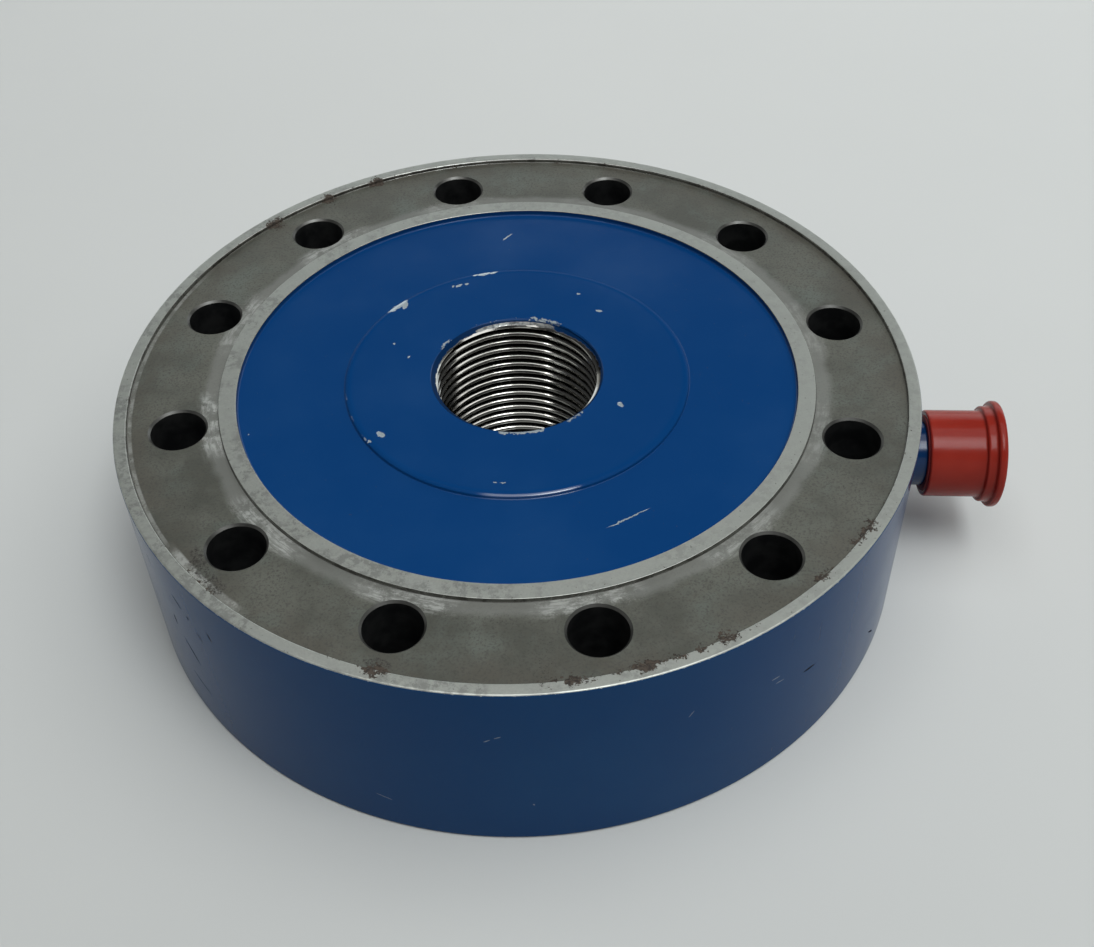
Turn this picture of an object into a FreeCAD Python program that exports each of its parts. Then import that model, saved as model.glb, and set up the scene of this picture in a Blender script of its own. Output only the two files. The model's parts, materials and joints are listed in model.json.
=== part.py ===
import FreeCAD
import Part
import Sketcher
import math
import os
import re

# Low-profile load cell: a one-piece steel flexure (bolt ring, eight shear webs, threaded hub) closed by two
# annular covers, with a round multi-pin connector on its side under a push-on dust cap.
# Millimetres. The origin is the centre of the ground base, +Z runs up the hub axis, +X along the connector.

driving_sizes = {
    # flexure, read from the outside in
    "outer_diameter": 154.0,
    "overall_height": 42.0,
    "rim_width": 2.5,
    "rim_edge_break": 0.35,
    "base_edge_break": 0.6,
    "relief_depth": 0.8,
    "relief_width": 17.1,
    "land_width": 3.4,
    "land_edge_break": 0.15,
    "hub_diameter": 66.6,
    "hub_edge_break": 0.25,
    "hub_drop": 0.4,
    "hub_rise": 0.8,
    "seat_width": 2.0,
    "thread_diameter": 33.0,
    "thread_lead_in": 0.3,
    "web_count": 8,
    "web_thickness": 5.0,
    "web_headroom": 2.0,
    "pocket_corner": 3.0,
    "bolt_inset": 11.9125,
    "bolt_count": 12,
    "bolt_hole_diameter": 10.4,
    "bolt_hole_break": 0.3,
    # covers
    "cover_drop": 1.15,
    "cover_rise": 1.15,
    "cover_thickness": 1.2,
    "cover_gap": 0.05,
    # bridge parts bonded to the webs
    "gauge_width": 4.4,
    "gauge_height": 6.0,
    "gauge_thickness": 0.2,
    "terminal_width": 3.6,
    "terminal_height": 2.6,
    "terminal_thickness": 0.3,
    "terminal_spacing": 1.2,
    "harness_wire": 1.5,
    "drop_wire": 0.8,
    "wire_gap": 0.05,
    "strip_width": 4.4,
    "strip_thickness": 1.0,
    "strip_overhang": 8.0,
    "strip_margin": 1.0,
    "resistor_count": 4,
    "resistor_pitch": 2.4,
    "resistor_width": 3.0,
    "resistor_height": 1.5,
    "resistor_thickness": 1.1,
    "resistor_gap": 1.0,
    # side port
    "port_height": 21.4,
    "passage_diameter": 9.0,
    "socket_diameter": 12.0,
    "socket_depth": 10.0,
    "spotface_diameter": 17.0,
    "spotface_depth": 0.7,
    # neck
    "neck_diameter": 12.9,
    "neck_length": 4.7,
    "neck_bore": 9.2,
    "neck_fit": 0.05,
    "neck_edge_break": 0.3,
    "neck_counterbore_depth": 2.0,
    "seal_setback": 5.0,
    "seal_width": 1.6,
    "seal_depth": 0.6,
    "seal_fit": 0.05,
    "potting_setback": 2.0,
    "potting_length": 5.0,
    # connector
    "gasket_thickness": 0.5,
    "shell_diameter": 14.0,
    "shell_length": 11.0,
    "shell_edge_break": 0.3,
    "shell_cavity": 11.2,
    "shell_cavity_floor": 1.5,
    "spigot_diameter": 10.3,
    "spigot_fit": 0.05,
    "spigot_bore": 8.8,
    "keyway_count": 5,
    "keyway_diameter": 1.1,
    "keyway_depth": 4.5,
    "stud_count": 3,
    "stud_diameter": 1.6,
    "stud_reach": 0.45,
    "stud_floor": 0.6,
    "stud_setback": 4.5,
    "stud_fit": 0.02,
    "insert_length": 4.5,
    "insert_fit": 0.05,
    "retainer_length": 0.7,
    "retainer_width": 0.8,
    "contact_count": 6,
    "contact_circle": 6.4,
    "contact_diameter": 1.6,
    "contact_fit": 0.03,
    "contact_recess": 1.0,
    "cup_length": 1.9,
    "cup_bore": 1.05,
    "cup_depth": 1.3,
    # leads
    "lead_count": 4,
    "lead_diameter": 0.9,
    "lead_bend": 4.0,
    "lead_fit": 0.05,
    # dust cap
    "cap_clearance": 0.2,
    "cap_wall": 1.03,
    "cap_depth": 11.55,
    "cap_seat_gap": 0.1,
    "cap_end_thickness": 2.9,
    "cap_lip_break": 0.3,
    "collar_diameter": 19.16,
    "collar_length": 1.85,
    "flange_diameter": 21.3,
    "flange_thickness": 1.7,
    "flange_edge_round": 0.7,
    "cap_dish_diameter": 13.0,
    "cap_dish_depth": 0.8,
}

# Heights up the hub axis, as expressions over the sizes
top_seat = "overall_height - cover_drop - cover_thickness"
base_seat = "cover_rise + cover_thickness"
web_top = f"{top_seat} - web_headroom"
web_base = f"{base_seat} + web_headroom"
web_middle = f"({web_top} + {web_base}) / 2"
hub_top = "overall_height - hub_drop"
relief_floor = "overall_height - relief_depth"
terminal_low = f"{web_middle} + gauge_height / 2 + terminal_spacing"
lowest_lead = "port_height - contact_circle / 2 - lead_diameter / 2"
resistor_low = f"{lowest_lead} - resistor_gap - (resistor_count - 1) * resistor_pitch - resistor_height"
strip_low = f"({resistor_low} - strip_margin)"
strip_top = "(port_height + strip_overhang)"
stud_foot = "port_height + shell_cavity / 2 + stud_floor"

# Radii about the hub axis, from the outside in
rim_radius = "outer_diameter / 2"
bolt_radius = f"({rim_radius} - bolt_inset)"
rim_inner = f"{rim_radius} - rim_width"
land_outer = f"{rim_inner} - relief_width"
land_inner = f"{land_outer} - land_width"
hub_radius = "hub_diameter / 2"
bore_radius = "thread_diameter / 2"
pocket_inner = f"({hub_radius} + seat_width)"
pocket_outer = f"({land_inner} - seat_width)"
pocket_middle = f"({pocket_inner} + {pocket_outer}) / 2"
corner_radius = f"min(pocket_corner; ({pocket_outer} - {pocket_inner}) / 5)"

# Offsets from the middle of a web
web_flank = "web_thickness / 2"
strip_face = f"-({web_flank} + strip_thickness)"

# Places along the connector axis
spot_face = "outer_diameter / 2 - spotface_depth"
socket_floor = f"{spot_face} - socket_depth"
neck_front = f"{spot_face} + neck_length"
shell_back = f"{neck_front} + gasket_thickness"
shell_front = f"{shell_back} + shell_length"
insert_back = f"{shell_back} + shell_cavity_floor"
insert_front = f"{insert_back} + insert_length"
cup_back = f"{insert_back} - cup_length"
pin_tip = f"{shell_front} - contact_recess"
stud_along = f"{shell_front} - stud_setback"
cap_seat = f"{shell_front} + cap_seat_gap"
cap_lip = f"{cap_seat} - cap_depth"
cap_end = f"{cap_seat} + cap_end_thickness"

# Radii about the connector axis
shell_radius = "shell_diameter / 2"
cap_inner = f"{shell_radius} + stud_reach + cap_clearance"
cap_outer = f"{cap_inner} + cap_wall"

# The first contact, across and up from the connector axis
contact_across = "contact_circle / 2 * cos(180 deg / contact_count)"
contact_up = "contact_circle / 2 * sin(180 deg / contact_count)"

doc = FreeCAD.newDocument("LoadCell")
sheet = doc.addObject("Spreadsheet::Sheet", "Sizes")
for row, (alias, number) in enumerate(driving_sizes.items(), start=1):
    sheet.set(f"A{row}", alias)
    sheet.set(f"B{row}", str(number))
    sheet.setAlias(f"B{row}", alias)
doc.recompute()


def from_sheet(text):
    # every size has an underscore in its name, and no function or unit in an expression has one
    return re.sub(r"[a-z]+(_[a-z]+)+", r"Sizes.\g<0>", text)


def bind(thing, place, text):
    thing.setExpression(place, from_sheet(text))


def worth(text):
    # what an expression comes to now, for shapes that are worked out here
    return float(sheet.evalExpression(from_sheet(text)))


def origin_feature(body, role):
    return next(feature for feature in body.Origin.OriginFeatures if feature.Role == role)


def new_body(name):
    body = doc.addObject("PartDesign::Body", name)
    body.Label = name
    body.AllowCompound = True
    return body


def new_sketch(body, name, role, offsets):
    sketch = body.newObject("Sketcher::SketchObject", name)
    sketch.AttachmentSupport = [(origin_feature(body, role), "")]
    sketch.MapMode = "FlatFace"
    for direction, text in offsets.items():
        bind(sketch, f".AttachmentOffset.Base.{direction}", text)
    return sketch


def fix_point(sketch, shape, end, across, up):
    for kind, text in (("DistanceX", across), ("DistanceY", up)):
        index = sketch.addConstraint(Sketcher.Constraint(kind, -1, 1, shape, end, 1.0))
        bind(sketch, f"Constraints[{index}]", text)


def fix_value(sketch, kind, text, *elements):
    index = sketch.addConstraint(Sketcher.Constraint(kind, *elements, 1.0))
    bind(sketch, f"Constraints[{index}]", text)


def draw_outline(sketch, corners):
    # straight runs through the corners, each a pair of expressions
    turns = [2 * math.pi * n / len(corners) for n in range(len(corners) + 1)]
    rough = [FreeCAD.Vector(math.cos(turn), math.sin(turn), 0) for turn in turns]
    runs = [Part.LineSegment(start, end) for start, end in zip(rough, rough[1:])]
    sketch.addGeometry(runs, False)
    for n in range(len(corners)):
        sketch.addConstraint(Sketcher.Constraint("Coincident", n, 2, (n + 1) % len(corners), 1))
    for n, (across, up) in enumerate(corners):
        fix_point(sketch, n, 1, across, up)


def draw_circle(sketch, across, up, diameter):
    circle = sketch.addGeometry(Part.Circle(FreeCAD.Vector(0, 0, 0), FreeCAD.Vector(0, 0, 1), 1.0), False)
    fix_point(sketch, circle, 3, across, up)
    fix_value(sketch, "Diameter", diameter, circle)


def turn_about(body, name, kind, sketch, axis):
    turned = body.newObject(kind, name)
    turned.Profile = sketch
    turned.ReferenceAxis = (sketch, [axis])
    turned.Angle = 360
    return turned


def pad(body, name, sketch, length):
    padded = body.newObject("PartDesign::Pad", name)
    padded.Profile = sketch
    bind(padded, "Length", length)
    return padded


def cut_through(body, name, sketch):
    cut = body.newObject("PartDesign::Pocket", name)
    cut.Profile = sketch
    cut.Type = "ThroughAll"
    cut.Reversed = True
    return cut


def cut_depth(body, name, sketch, depth):
    cut = body.newObject("PartDesign::Pocket", name)
    cut.Profile = sketch
    bind(cut, "Length", depth)
    return cut


def repeat_round(body, name, features, axis, count):
    pattern = body.newObject("PartDesign::PolarPattern", name)
    pattern.Originals = features
    pattern.Axis = axis
    pattern.Angle = 360
    bind(pattern, "Occurrences", count)
    body.Tip = pattern
    return pattern


def hub_axis(body):
    return (origin_feature(body, "Z_Axis"), [""])


def circles_of(shape, diameter):
    # names of the full circular edges of this diameter
    names = []
    for n, edge in enumerate(shape.Edges, start=1):
        if isinstance(edge.Curve, Part.Circle) and abs(2 * edge.Curve.Radius - diameter) < 1e-6:
            names.append(f"Edge{n}")
    return names


def turned_on_connector(name, corners):
    # a piece turned about the connector axis, from corners of place along the axis and radius
    body = new_body(name)
    sketch = new_sketch(body, f"{name}_section", "XZ_Plane", {"y": "port_height"})
    draw_outline(sketch, corners)
    turn_about(body, f"{name}_turned", "PartDesign::Revolution", sketch, "H_Axis")
    return body


def on_connector(body, name, along):
    # a sketch square to the connector axis, centred on it: across is Y, up is Z
    return new_sketch(body, name, "YZ_Plane", {"y": "port_height", "z": along})


def web_point(along, aside):
    # a place beside the web half a pitch round from the connector: out along it and off its middle
    half_pitch = "180 deg / web_count"
    across = f"({along}) * cos({half_pitch}) - ({aside}) * sin({half_pitch})"
    up = f"({along}) * sin({half_pitch}) + ({aside}) * cos({half_pitch})"
    return across, up


def web_plate(body, name, width, near, far, low, height):
    # a small plate lying along the web's flank, centred between hub and ring
    inner = f"{pocket_middle} - {width} / 2"
    outer = f"{pocket_middle} + {width} / 2"
    sketch = new_sketch(body, f"{name}_plan", "XY_Plane", {"z": low})
    plan = [(inner, near), (outer, near), (outer, far), (inner, far)]
    draw_outline(sketch, [web_point(along, aside) for along, aside in plan])
    return pad(body, f"{name}_plate", sketch, height)


def draw_gauge_pocket(sketch):
    # sector between two webs, with milled corners: arcs on hub and ring, straight flanks parallel to the webs
    half_pitch = math.pi / worth("web_count")
    half_web = worth(web_flank)
    corner = worth(corner_radius)
    inner = worth(pocket_inner)
    outer = worth(pocket_outer)
    along = FreeCAD.Vector(math.cos(half_pitch), math.sin(half_pitch), 0)
    aside = FreeCAD.Vector(-math.sin(half_pitch), math.cos(half_pitch), 0)
    normal = FreeCAD.Vector(0, 0, 1)
    origin = FreeCAD.Vector(0, 0, 0)

    def corner_centre(distance):
        reach = math.sqrt(distance**2 - (half_web + corner) ** 2)
        return along * reach - aside * (half_web + corner), along * reach - aside * half_web

    outer_centre, outer_tangent = corner_centre(outer - corner)
    inner_centre, inner_tangent = corner_centre(inner + corner)
    outer_turn = math.atan2(outer_centre.y, outer_centre.x)
    inner_turn = math.atan2(inner_centre.y, inner_centre.x)
    flank_turn = half_pitch + math.pi / 2

    def mirrored(point):
        return FreeCAD.Vector(point.x, -point.y, 0)

    def arc(centre, radius, start, end):
        return Part.ArcOfCircle(Part.Circle(centre, normal, radius), start, end)

    ring_arc, ring_corner, flank, hub_corner, hub_arc, low_hub_corner, low_flank, low_ring_corner = range(8)
    outline = [
        arc(origin, outer, -outer_turn, outer_turn),
        arc(outer_centre, corner, outer_turn, flank_turn),
        Part.LineSegment(inner_tangent, outer_tangent),
        arc(inner_centre, corner, flank_turn, inner_turn + math.pi),
        arc(origin, inner, -inner_turn, inner_turn),
        arc(mirrored(inner_centre), corner, math.pi - inner_turn, 2 * math.pi - flank_turn),
        Part.LineSegment(mirrored(inner_tangent), mirrored(outer_tangent)),
        arc(mirrored(outer_centre), corner, -flank_turn, -outer_turn),
    ]
    sketch.addGeometry(outline, False)
    start, end, centre = 1, 2, 3
    joins = [
        (ring_arc, end, ring_corner, start),
        (ring_corner, end, flank, end),
        (flank, start, hub_corner, start),
        (hub_corner, end, hub_arc, end),
        (hub_arc, start, low_hub_corner, start),
        (low_hub_corner, end, low_flank, start),
        (low_flank, end, low_ring_corner, start),
        (low_ring_corner, end, ring_arc, start),
    ]
    for join in joins:
        sketch.addConstraint(Sketcher.Constraint("Tangent", *join))
    for hub_or_ring in (ring_arc, hub_arc):
        sketch.addConstraint(Sketcher.Constraint("Coincident", hub_or_ring, centre, -1, 1))
    for other in (hub_corner, low_hub_corner, low_ring_corner):
        sketch.addConstraint(Sketcher.Constraint("Equal", ring_corner, other))
    values = [
        ("Radius", pocket_outer, outer, (ring_arc,)),
        ("Radius", pocket_inner, inner, (hub_arc,)),
        ("Radius", corner_radius, corner, (ring_corner,)),
        ("Angle", "180 deg / web_count", half_pitch, (flank,)),
        ("Angle", "-180 deg / web_count", -half_pitch, (low_flank,)),
        ("Distance", web_flank, half_web, (-1, 1, flank)),
        ("Distance", web_flank, half_web, (-1, 1, low_flank)),
    ]
    for kind, text, number, elements in values:
        index = sketch.addConstraint(Sketcher.Constraint(kind, *elements, number))
        bind(sketch, f"Constraints[{index}]", text)


def make_sensor_body():
    body = new_body("sensor_body")
    section = new_sketch(body, "flexure_section", "XZ_Plane", {})
    corners = [
        (f"{bore_radius} + thread_lead_in", "hub_rise"),
        (f"{hub_radius} - hub_edge_break", "hub_rise"),
        (hub_radius, "hub_rise + hub_edge_break"),
        (hub_radius, base_seat),
        (pocket_inner, base_seat),
        (pocket_inner, web_base),
        (pocket_outer, web_base),
        (pocket_outer, base_seat),
        (land_inner, base_seat),
        (land_inner, "land_edge_break"),
        (f"{land_inner} + land_edge_break", "0"),
        (f"{rim_radius} - base_edge_break", "0"),
        (rim_radius, "base_edge_break"),
        (rim_radius, "overall_height - rim_edge_break"),
        (f"{rim_radius} - rim_edge_break", "overall_height"),
        (f"{rim_inner} + land_edge_break", "overall_height"),
        (rim_inner, "overall_height - land_edge_break"),
        (rim_inner, relief_floor),
        (land_outer, relief_floor),
        (land_outer, "overall_height - land_edge_break"),
        (f"{land_outer} - land_edge_break", "overall_height"),
        (f"{land_inner} + land_edge_break", "overall_height"),
        (land_inner, "overall_height - land_edge_break"),
        (land_inner, top_seat),
        (pocket_outer, top_seat),
        (pocket_outer, web_top),
        (pocket_inner, web_top),
        (pocket_inner, top_seat),
        (hub_radius, top_seat),
        (hub_radius, f"{hub_top} - hub_edge_break"),
        (f"{hub_radius} - hub_edge_break", hub_top),
        (f"{bore_radius} + thread_lead_in", hub_top),
        (bore_radius, f"{hub_top} - thread_lead_in"),
        (bore_radius, "hub_rise + thread_lead_in"),
    ]
    draw_outline(section, corners)
    turn_about(body, "flexure_blank", "PartDesign::Revolution", section, "V_Axis")

    pocket_plan = new_sketch(body, "gauge_pocket_plan", "XY_Plane", {})
    draw_gauge_pocket(pocket_plan)
    pocket = cut_through(body, "gauge_pocket", pocket_plan)
    repeat_round(body, "gauge_pockets", [pocket], hub_axis(body), "web_count")

    hole_plan = new_sketch(body, "bolt_hole_plan", "XY_Plane", {})
    half_pitch = "180 deg / bolt_count"
    across = f"{bolt_radius} * cos({half_pitch})"
    up = f"{bolt_radius} * sin({half_pitch})"
    draw_circle(hole_plan, across, up, "bolt_hole_diameter")
    hole = cut_through(body, "bolt_hole", hole_plan)
    repeat_round(body, "bolt_holes", [hole], hub_axis(body), "bolt_count")

    port_section = new_sketch(body, "port_section", "XZ_Plane", {"y": "port_height"})
    beyond = f"{rim_radius} + spotface_depth"
    port_corners = [
        (pocket_middle, "0"),
        (beyond, "0"),
        (beyond, "spotface_diameter / 2"),
        (spot_face, "spotface_diameter / 2"),
        (spot_face, "socket_diameter / 2"),
        (socket_floor, "socket_diameter / 2"),
        (socket_floor, "passage_diameter / 2"),
        (pocket_middle, "passage_diameter / 2"),
    ]
    draw_outline(port_section, port_corners)
    port = turn_about(body, "connector_port", "PartDesign::Groove", port_section, "H_Axis")

    doc.recompute()
    mouths = circles_of(port.Shape, worth("bolt_hole_diameter"))
    edges = body.newObject("PartDesign::Chamfer", "bolt_hole_edges")
    edges.Base = (port, mouths)
    bind(edges, "Size", "bolt_hole_break")
    return body


def make_cover(name, low):
    body = new_body(name)
    sketch = new_sketch(body, f"{name}_section", "XZ_Plane", {"y": low})
    inner = f"{hub_radius} + cover_gap"
    outer = f"{land_inner} - cover_gap"
    draw_outline(sketch, [(inner, "0"), (outer, "0"), (outer, "cover_thickness"), (inner, "cover_thickness")])
    turn_about(body, f"{name}_turned", "PartDesign::Revolution", sketch, "V_Axis")
    return body


def make_strain_gauges():
    body = new_body("strain_gauges")
    low = f"{web_middle} - gauge_height / 2"
    face = f"{web_flank} + gauge_thickness"
    plate = web_plate(body, "gauge", "gauge_width", web_flank, face, low, "gauge_height")
    repeat_round(body, "gauges", [plate], hub_axis(body), "web_count")
    return body


def make_gauge_terminals():
    body = new_body("gauge_terminals")
    face = f"{web_flank} + terminal_thickness"
    plate = web_plate(body, "terminal", "terminal_width", web_flank, face, terminal_low, "terminal_height")
    repeat_round(body, "terminals", [plate], hub_axis(body), "web_count")
    return body


def make_bridge_harness():
    # a wire ring lying on the webs, a drop to each gauge terminal and one feed down to the terminal strip
    body = new_body("bridge_harness")
    ring_height = f"{web_top} + harness_wire / 2 + wire_gap"
    ring_section = new_sketch(body, "harness_section", "XZ_Plane", {})
    draw_circle(ring_section, pocket_middle, ring_height, "harness_wire")
    turn_about(body, "harness_ring", "PartDesign::Revolution", ring_section, "V_Axis")

    def wire_down(name, aside, low):
        along = f"sqrt(({pocket_middle}) ^ 2 - ({aside}) ^ 2)"
        plan = new_sketch(body, f"{name}_plan", "XY_Plane", {"z": low})
        draw_circle(plan, *web_point(along, aside), "drop_wire")
        return pad(body, name, plan, f"{ring_height} - ({low})")

    drop_aside = f"{web_flank} + terminal_thickness + wire_gap + drop_wire / 2"
    drop = wire_down("drop", drop_aside, terminal_low)
    repeat_round(body, "drops", [drop], hub_axis(body), "web_count")
    feed_aside = f"{strip_face} - wire_gap - drop_wire / 2"
    wire_down("feed", feed_aside, f"{strip_top} - drop_wire")
    return body


def make_terminal_strip():
    body = new_body("terminal_strip")
    height = f"{strip_top} - {strip_low}"
    web_plate(body, "strip", "strip_width", strip_face, f"-({web_flank})", strip_low, height)
    return body


def make_compensation_resistors():
    body = new_body("compensation_resistors")
    face = f"{strip_face} - resistor_thickness"
    first = web_plate(body, "resistor", "resistor_width", face, strip_face, resistor_low, "resistor_height")
    row = body.newObject("PartDesign::LinearPattern", "resistors")
    row.Originals = [first]
    row.Direction = hub_axis(body)
    row.Mode = "Spacing"
    bind(row, "Offset", "resistor_pitch")
    bind(row, "Occurrences", "resistor_count")
    body.Tip = row
    return body


def make_connector_neck():
    fit_radius = "socket_diameter / 2 - neck_fit"
    seal_back = f"{spot_face} - seal_setback"
    groove = f"{fit_radius} - seal_depth"
    counterbore = f"{neck_front} - neck_counterbore_depth"
    corners = [
        (f"{socket_floor} + neck_fit", "neck_bore / 2"),
        (f"{socket_floor} + neck_fit", fit_radius),
        (seal_back, fit_radius),
        (seal_back, groove),
        (f"{seal_back} + seal_width", groove),
        (f"{seal_back} + seal_width", fit_radius),
        (spot_face, fit_radius),
        (spot_face, "neck_diameter / 2"),
        (f"{neck_front} - neck_edge_break", "neck_diameter / 2"),
        (neck_front, "neck_diameter / 2 - neck_edge_break"),
        (neck_front, "spigot_diameter / 2 + spigot_fit"),
        (counterbore, "spigot_diameter / 2 + spigot_fit"),
        (counterbore, "neck_bore / 2"),
    ]
    return turned_on_connector("connector_neck", corners)


def make_neck_seal():
    back = f"{spot_face} - seal_setback + seal_fit"
    front = f"{spot_face} - seal_setback + seal_width - seal_fit"
    inner = "socket_diameter / 2 - neck_fit - seal_depth + seal_fit"
    outer = "socket_diameter / 2 - seal_fit"
    return turned_on_connector("neck_seal", [(back, inner), (back, outer), (front, outer), (front, inner)])


def lead_places():
    # the contacts on the strip's side, each at its own height: places across and up from the connector axis
    turn = 2 * math.pi / worth("contact_count")
    radius = worth("contact_circle / 2")
    count = int(worth("lead_count"))
    turns = [turn * (n - (count - 1) / 2) for n in range(count)]
    return [(radius * math.cos(angle), radius * math.sin(angle)) for angle in turns]


def make_port_potting():
    body = new_body("port_potting")
    back = f"{socket_floor} + neck_fit + potting_setback"
    disc = on_connector(body, "potting_disc", back)
    draw_circle(disc, "0", "0", "neck_bore - 2 * lead_fit")
    pad(body, "potting_plug", disc, "potting_length")
    lead_plan = on_connector(body, "potting_lead_plan", back)
    draw_circle(lead_plan, contact_across, contact_up, "lead_diameter + 2 * lead_fit")
    hole = cut_through(body, "potting_lead_hole", lead_plan)
    repeat_round(body, "potting_lead_holes", [hole], (lead_plan, ["N_Axis"]), "contact_count")
    return body


def make_connector_gasket():
    inner = "spigot_diameter / 2 + spigot_fit"
    outer = "neck_diameter / 2"
    corners = [(neck_front, inner), (neck_front, outer), (shell_back, outer), (shell_back, inner)]
    return turned_on_connector("connector_gasket", corners)


def make_connector_shell():
    spigot_back = f"{neck_front} - neck_counterbore_depth + spigot_fit"
    cavity = "shell_cavity / 2"
    corners = [
        (spigot_back, "spigot_bore / 2"),
        (spigot_back, "spigot_diameter / 2"),
        (shell_back, "spigot_diameter / 2"),
        (shell_back, f"{shell_radius} - shell_edge_break"),
        (f"{shell_back} + shell_edge_break", shell_radius),
        (f"{shell_front} - shell_edge_break", shell_radius),
        (shell_front, f"{shell_radius} - shell_edge_break"),
        (shell_front, f"{cavity} + shell_edge_break"),
        (f"{shell_front} - shell_edge_break", cavity),
        (insert_back, cavity),
        (insert_back, "spigot_bore / 2"),
    ]
    body = turned_on_connector("connector_shell", corners)

    # the keyways start at the bottom and the studs at the top, so that none lies under another
    key_plan = on_connector(body, "keyway_plan", shell_front)
    draw_circle(key_plan, "0", f"-{cavity}", "keyway_diameter")
    keyway = cut_depth(body, "keyway", key_plan, "keyway_depth")
    repeat_round(body, "keyways", [keyway], (key_plan, ["N_Axis"]), "keyway_count")

    stud_plan = new_sketch(body, "stud_seat_plan", "XY_Plane", {"z": stud_foot})
    draw_circle(stud_plan, stud_along, "0", "stud_diameter + 2 * stud_fit")
    seat = cut_through(body, "stud_seat", stud_plan)
    repeat_round(body, "stud_seats", [seat], (key_plan, ["N_Axis"]), "stud_count")
    return body


def make_bayonet_studs():
    body = new_body("bayonet_studs")
    plan = new_sketch(body, "stud_plan", "XY_Plane", {"z": stud_foot})
    draw_circle(plan, stud_along, "0", "stud_diameter")
    stud = pad(body, "stud", plan, f"port_height + {shell_radius} + stud_reach - ({stud_foot})")
    axis_sketch = on_connector(body, "stud_axis", shell_front)
    repeat_round(body, "studs", [stud], (axis_sketch, ["N_Axis"]), "stud_count")
    return body


def make_connector_insert():
    body = new_body("connector_insert")
    disc = on_connector(body, "insert_disc", insert_back)
    draw_circle(disc, "0", "0", "shell_cavity - 2 * insert_fit")
    pad(body, "insert_block", disc, "insert_length")
    hole_plan = on_connector(body, "contact_hole_plan", insert_back)
    draw_circle(hole_plan, contact_across, contact_up, "contact_diameter + 2 * contact_fit")
    hole = cut_through(body, "contact_hole", hole_plan)
    repeat_round(body, "contact_holes", [hole], (hole_plan, ["N_Axis"]), "contact_count")
    return body


def make_insert_retainer():
    outer = "shell_cavity / 2 - insert_fit"
    front = f"{insert_front} + retainer_length"
    inner = f"{outer} - retainer_width"
    corners = [(insert_front, inner), (insert_front, outer), (front, outer), (front, inner)]
    return turned_on_connector("insert_retainer", corners)


def make_contact_pins():
    body = new_body("contact_pins")
    pin_plan = on_connector(body, "pin_plan", cup_back)
    draw_circle(pin_plan, contact_across, contact_up, "contact_diameter")
    pin = pad(body, "pin", pin_plan, f"{pin_tip} - ({cup_back})")
    cup_plan = on_connector(body, "cup_plan", cup_back)
    draw_circle(cup_plan, contact_across, contact_up, "cup_bore")
    cup = cut_depth(body, "solder_cup", cup_plan, "cup_depth")
    cup.Reversed = True
    repeat_round(body, "pins", [pin, cup], (pin_plan, ["N_Axis"]), "contact_count")
    return body


def make_connector_leads():
    # each lead runs straight from its solder cup through neck and passage, then bends square onto the strip
    half_pitch = math.pi / worth("web_count")
    along = FreeCAD.Vector(math.cos(half_pitch), math.sin(half_pitch), 0)
    aside = FreeCAD.Vector(-math.sin(half_pitch), math.cos(half_pitch), 0)
    on_strip = along * worth(pocket_middle) + aside * worth(strip_face)
    bend = worth("lead_bend")
    leads = []
    for across, up in lead_places():
        height = worth("port_height") + up
        start = FreeCAD.Vector(worth(f"{cup_back} + cup_depth"), across, height)
        run = (on_strip.y - across) / aside.y
        turn = on_strip - aside * run + FreeCAD.Vector(0, 0, height)
        end = on_strip + FreeCAD.Vector(0, 0, height)
        tangent = bend * math.tan((math.pi / 2 - half_pitch) / 2)
        into = turn + FreeCAD.Vector(tangent, 0, 0)
        out = turn + aside * tangent
        centre = into + FreeCAD.Vector(0, bend, 0)
        toward = turn - centre
        crown = centre + toward * (bend / toward.Length)
        path = Part.Wire(
            [
                Part.LineSegment(start, into).toShape(),
                Part.Arc(into, crown, out).toShape(),
                Part.LineSegment(out, end).toShape(),
            ]
        )
        section = Part.Circle(start, FreeCAD.Vector(1, 0, 0), worth("lead_diameter / 2")).toShape()
        leads.append(path.makePipeShell([Part.Wire([section])], True, False))
    feature = doc.addObject("Part::Feature", "connector_leads")
    feature.Label = "connector_leads"
    feature.Shape = Part.makeCompound(leads)
    return feature


def make_dust_cap():
    flange_back = f"{cap_end} - flange_thickness"
    collar_back = f"{flange_back} - collar_length"
    dish = f"{cap_end} - cap_dish_depth"
    corners = [
        (f"{cap_lip} + cap_lip_break", cap_inner),
        (cap_lip, f"{cap_inner} + cap_lip_break"),
        (cap_lip, cap_outer),
        (collar_back, cap_outer),
        (collar_back, "collar_diameter / 2"),
        (flange_back, "collar_diameter / 2"),
        (flange_back, "flange_diameter / 2"),
        (cap_end, "flange_diameter / 2"),
        (cap_end, "cap_dish_diameter / 2"),
        (dish, "cap_dish_diameter / 2"),
        (dish, "0"),
        (cap_seat, "0"),
        (cap_seat, cap_inner),
    ]
    body = turned_on_connector("dust_cap", corners)
    doc.recompute()
    turned = body.Tip
    rims = circles_of(turned.Shape, worth("flange_diameter"))
    rounded = body.newObject("PartDesign::Fillet", "flange_round")
    rounded.Base = (turned, rims)
    # limited by the step of the flange over the collar and by its thickness
    flange_step = "(flange_diameter - collar_diameter) / 3"
    bind(rounded, "Radius", f"min(flange_edge_round; {flange_step}; flange_thickness / 2.4)")
    return body


pieces = [
    make_sensor_body(),
    make_cover("top_cover", top_seat),
    make_cover("bottom_cover", "cover_rise"),
    make_strain_gauges(),
    make_gauge_terminals(),
    make_bridge_harness(),
    make_terminal_strip(),
    make_compensation_resistors(),
    make_connector_leads(),
    make_port_potting(),
    make_connector_neck(),
    make_neck_seal(),
    make_connector_gasket(),
    make_connector_shell(),
    make_bayonet_studs(),
    make_connector_insert(),
    make_insert_retainer(),
    make_contact_pins(),
    make_dust_cap(),
]
doc.recompute()

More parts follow.
